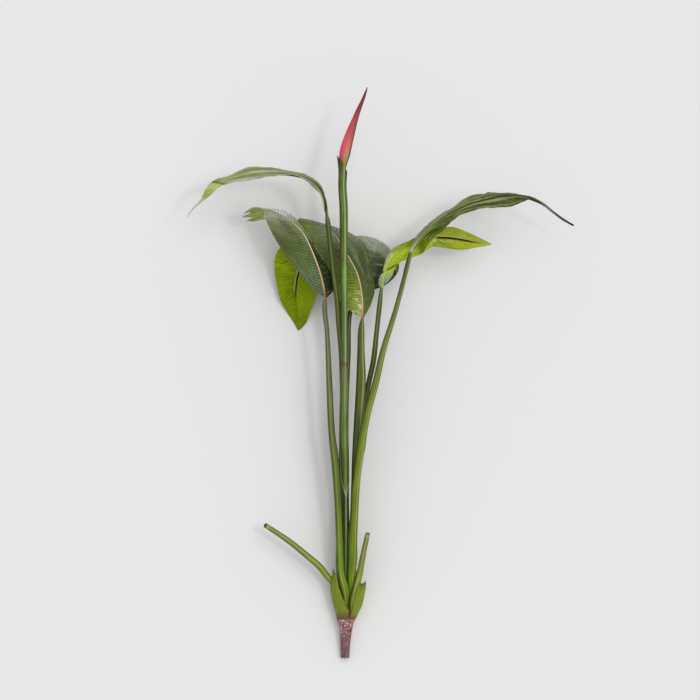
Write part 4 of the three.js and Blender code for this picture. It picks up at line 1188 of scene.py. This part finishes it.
def cut_stalk(name, places, points, finish):
    """A stalk with a slanted, hollow end, torn into a number of points."""
    skin = Skin()
    rings = tube(skin, finer(places), open_end=True)
    end, before = Vector(places[-1][:3]), Vector(places[-2][:3])
    heading = (end - before).normalized()
    side, front = frame_for(heading)
    rows = [rings[-1]]
    for size, depth, upward in ((1, 0.2, 0.985), (CUT_WALL, 0, 0.99), (CUT_WALL * 0.9, -1, 1.0),
                                (CUT_WALL * 0.8, -5, 1.0), (CUT_WALL * 0.5, -CUT_DEPTH, 1.0)):
        radius = places[-1][3] * size
        row = []
        for k, angle in enumerate(around(STALK_SIDES)):
            torn = 0.4 * wave(k * 0.37, 3, 1) + 2.2 * max(0, math.cos(points * angle + 1)) ** 3
            slant = torn * (1 if points else 0.3) - 2.6 * math.sin(angle)
            point = end + heading * (depth + slant * min(1, 1.5 * size))
            point += side * radius * math.cos(angle) + front * radius * math.sin(angle)
            row.append(skin.add(point, sideways=0.0, upwards=0.0, length=0.0, along=upward))
        rows.append(row)
    skin.sheet(rows, closed=True)
    skin.faces.append(tuple(rows[-1]))
    skin.piece(name + "_tube", finish, name, "cut_stalk")


def flower_bud(finish):
    skin = Skin()
    places = [[x, y, z, half, half * BUD_FLATNESS] for x, y, z, half in FLOWER_BUD]

    def fold(angle, _):
        keel = 0.03 * math.exp(-((angle - 0.35) / 0.3) ** 2)
        return 1.0 + keel - 0.05 * math.exp(-((angle - 0.75) / 0.12) ** 2)

    tube(skin, finer(places, 8), BUD_SIDES, fold)
    skin.piece("flower_bud_bract", finish, "flower_bud", "flower_bud")


for leaf_name, leaf_shape in LEAVES.items():
    leaf(leaf_name, leaf_shape, PAINTS[leaf_name])

stalk_skin = Skin()
tube(stalk_skin, finer(FLOWER_STALK))
stalk_skin.piece("flower_stalk_tube", stalk_finish("flower_stalk_skin", **STALKS["flower_stalk"]),
                 "flower_stalk", "flower_stalk")
flower_bud(bud_finish())
for end in ("lower", "upper"):
    sheath_name = "flower_sheath_" + end
    flower_sheath(sheath_name, FLOWER_SHEATHS[sheath_name], stalk_finish(
        end + "_sheath_skin", **STALKS[sheath_name]))
clasp = clasp_finish()
for sheath_name, sheath_shape in OUTER_SHEATHS.items():
    outer_sheath(sheath_name, sheath_shape, clasp)
cut = stalk_finish("cut_stalk_skin", **STALKS["cut_stalk"])
cut_stalk("cut_stalk_left", CUT_STALK_LEFT, 0, cut)
cut_stalk("cut_stalk_right", CUT_STALK_RIGHT, 3, cut)
stub_skin = Skin()
tube(stub_skin, finer(BASE_STUB, 8), level=True)
stub_skin.piece("base_stub_bark", stub_finish(), "base_stub", "base_stub")


# The surface, the light and the camera
def floor(size=6, depth=-0.0005):
    data = bpy.data.meshes.new("pale_surface")
    corners = [(x * size, y * size, depth) for x, y in ((-1, -1), (1, -1), (1, 1), (-1, 1))]
    data.from_pydata(corners, [], [(0, 1, 2, 3)])
    finish = Finish("pale_surface_paint", 0.9, 0.0)
    finish.shader["Base Color"].default_value = (0.82, 0.82, 0.82, 1)
    data.materials.append(finish.material)
    add_object("pale_surface", data)


def lamp(name, toward, spread, strength):
    light = bpy.data.lights.new(name, "SUN")
    light.angle = math.radians(spread)
    light.energy = strength
    thing = add_object(name, light)
    thing.location = Vector(toward) * 3
    thing.rotation_euler = Vector(toward).to_track_quat("Z", "Y").to_euler()


def camera(width=1.225, height=10.2, level=0.08):
    """Looks straight down on a picture so many metres wide at the level of the stem."""
    lens = bpy.data.cameras.new("camera")
    lens.sensor_width = 36
    lens.lens = 36 * (height - level) / width
    lens.clip_end = 100
    thing = add_object("camera", lens)
    middle = (PICTURE_MIDDLE + PLACE_IN_FRAME) * MM
    thing.location = (middle.x, middle.y, height)
    bpy.context.scene.camera = thing


floor()
world = bpy.data.worlds.new("studio")
world.use_nodes = True
world.node_tree.nodes["Background"].inputs["Color"].default_value = (1, 1, 1, 1)
world.node_tree.nodes["Background"].inputs["Strength"].default_value = 0.6
bpy.context.scene.world = world
lamp("softbox", (0.3, 0.25, 0.9), 45, 1.0)
lamp("strip", (0.4, 0.1, 0.9), 7, 0.3)
camera()
bpy.context.scene.view_settings.view_transform = "Standard"
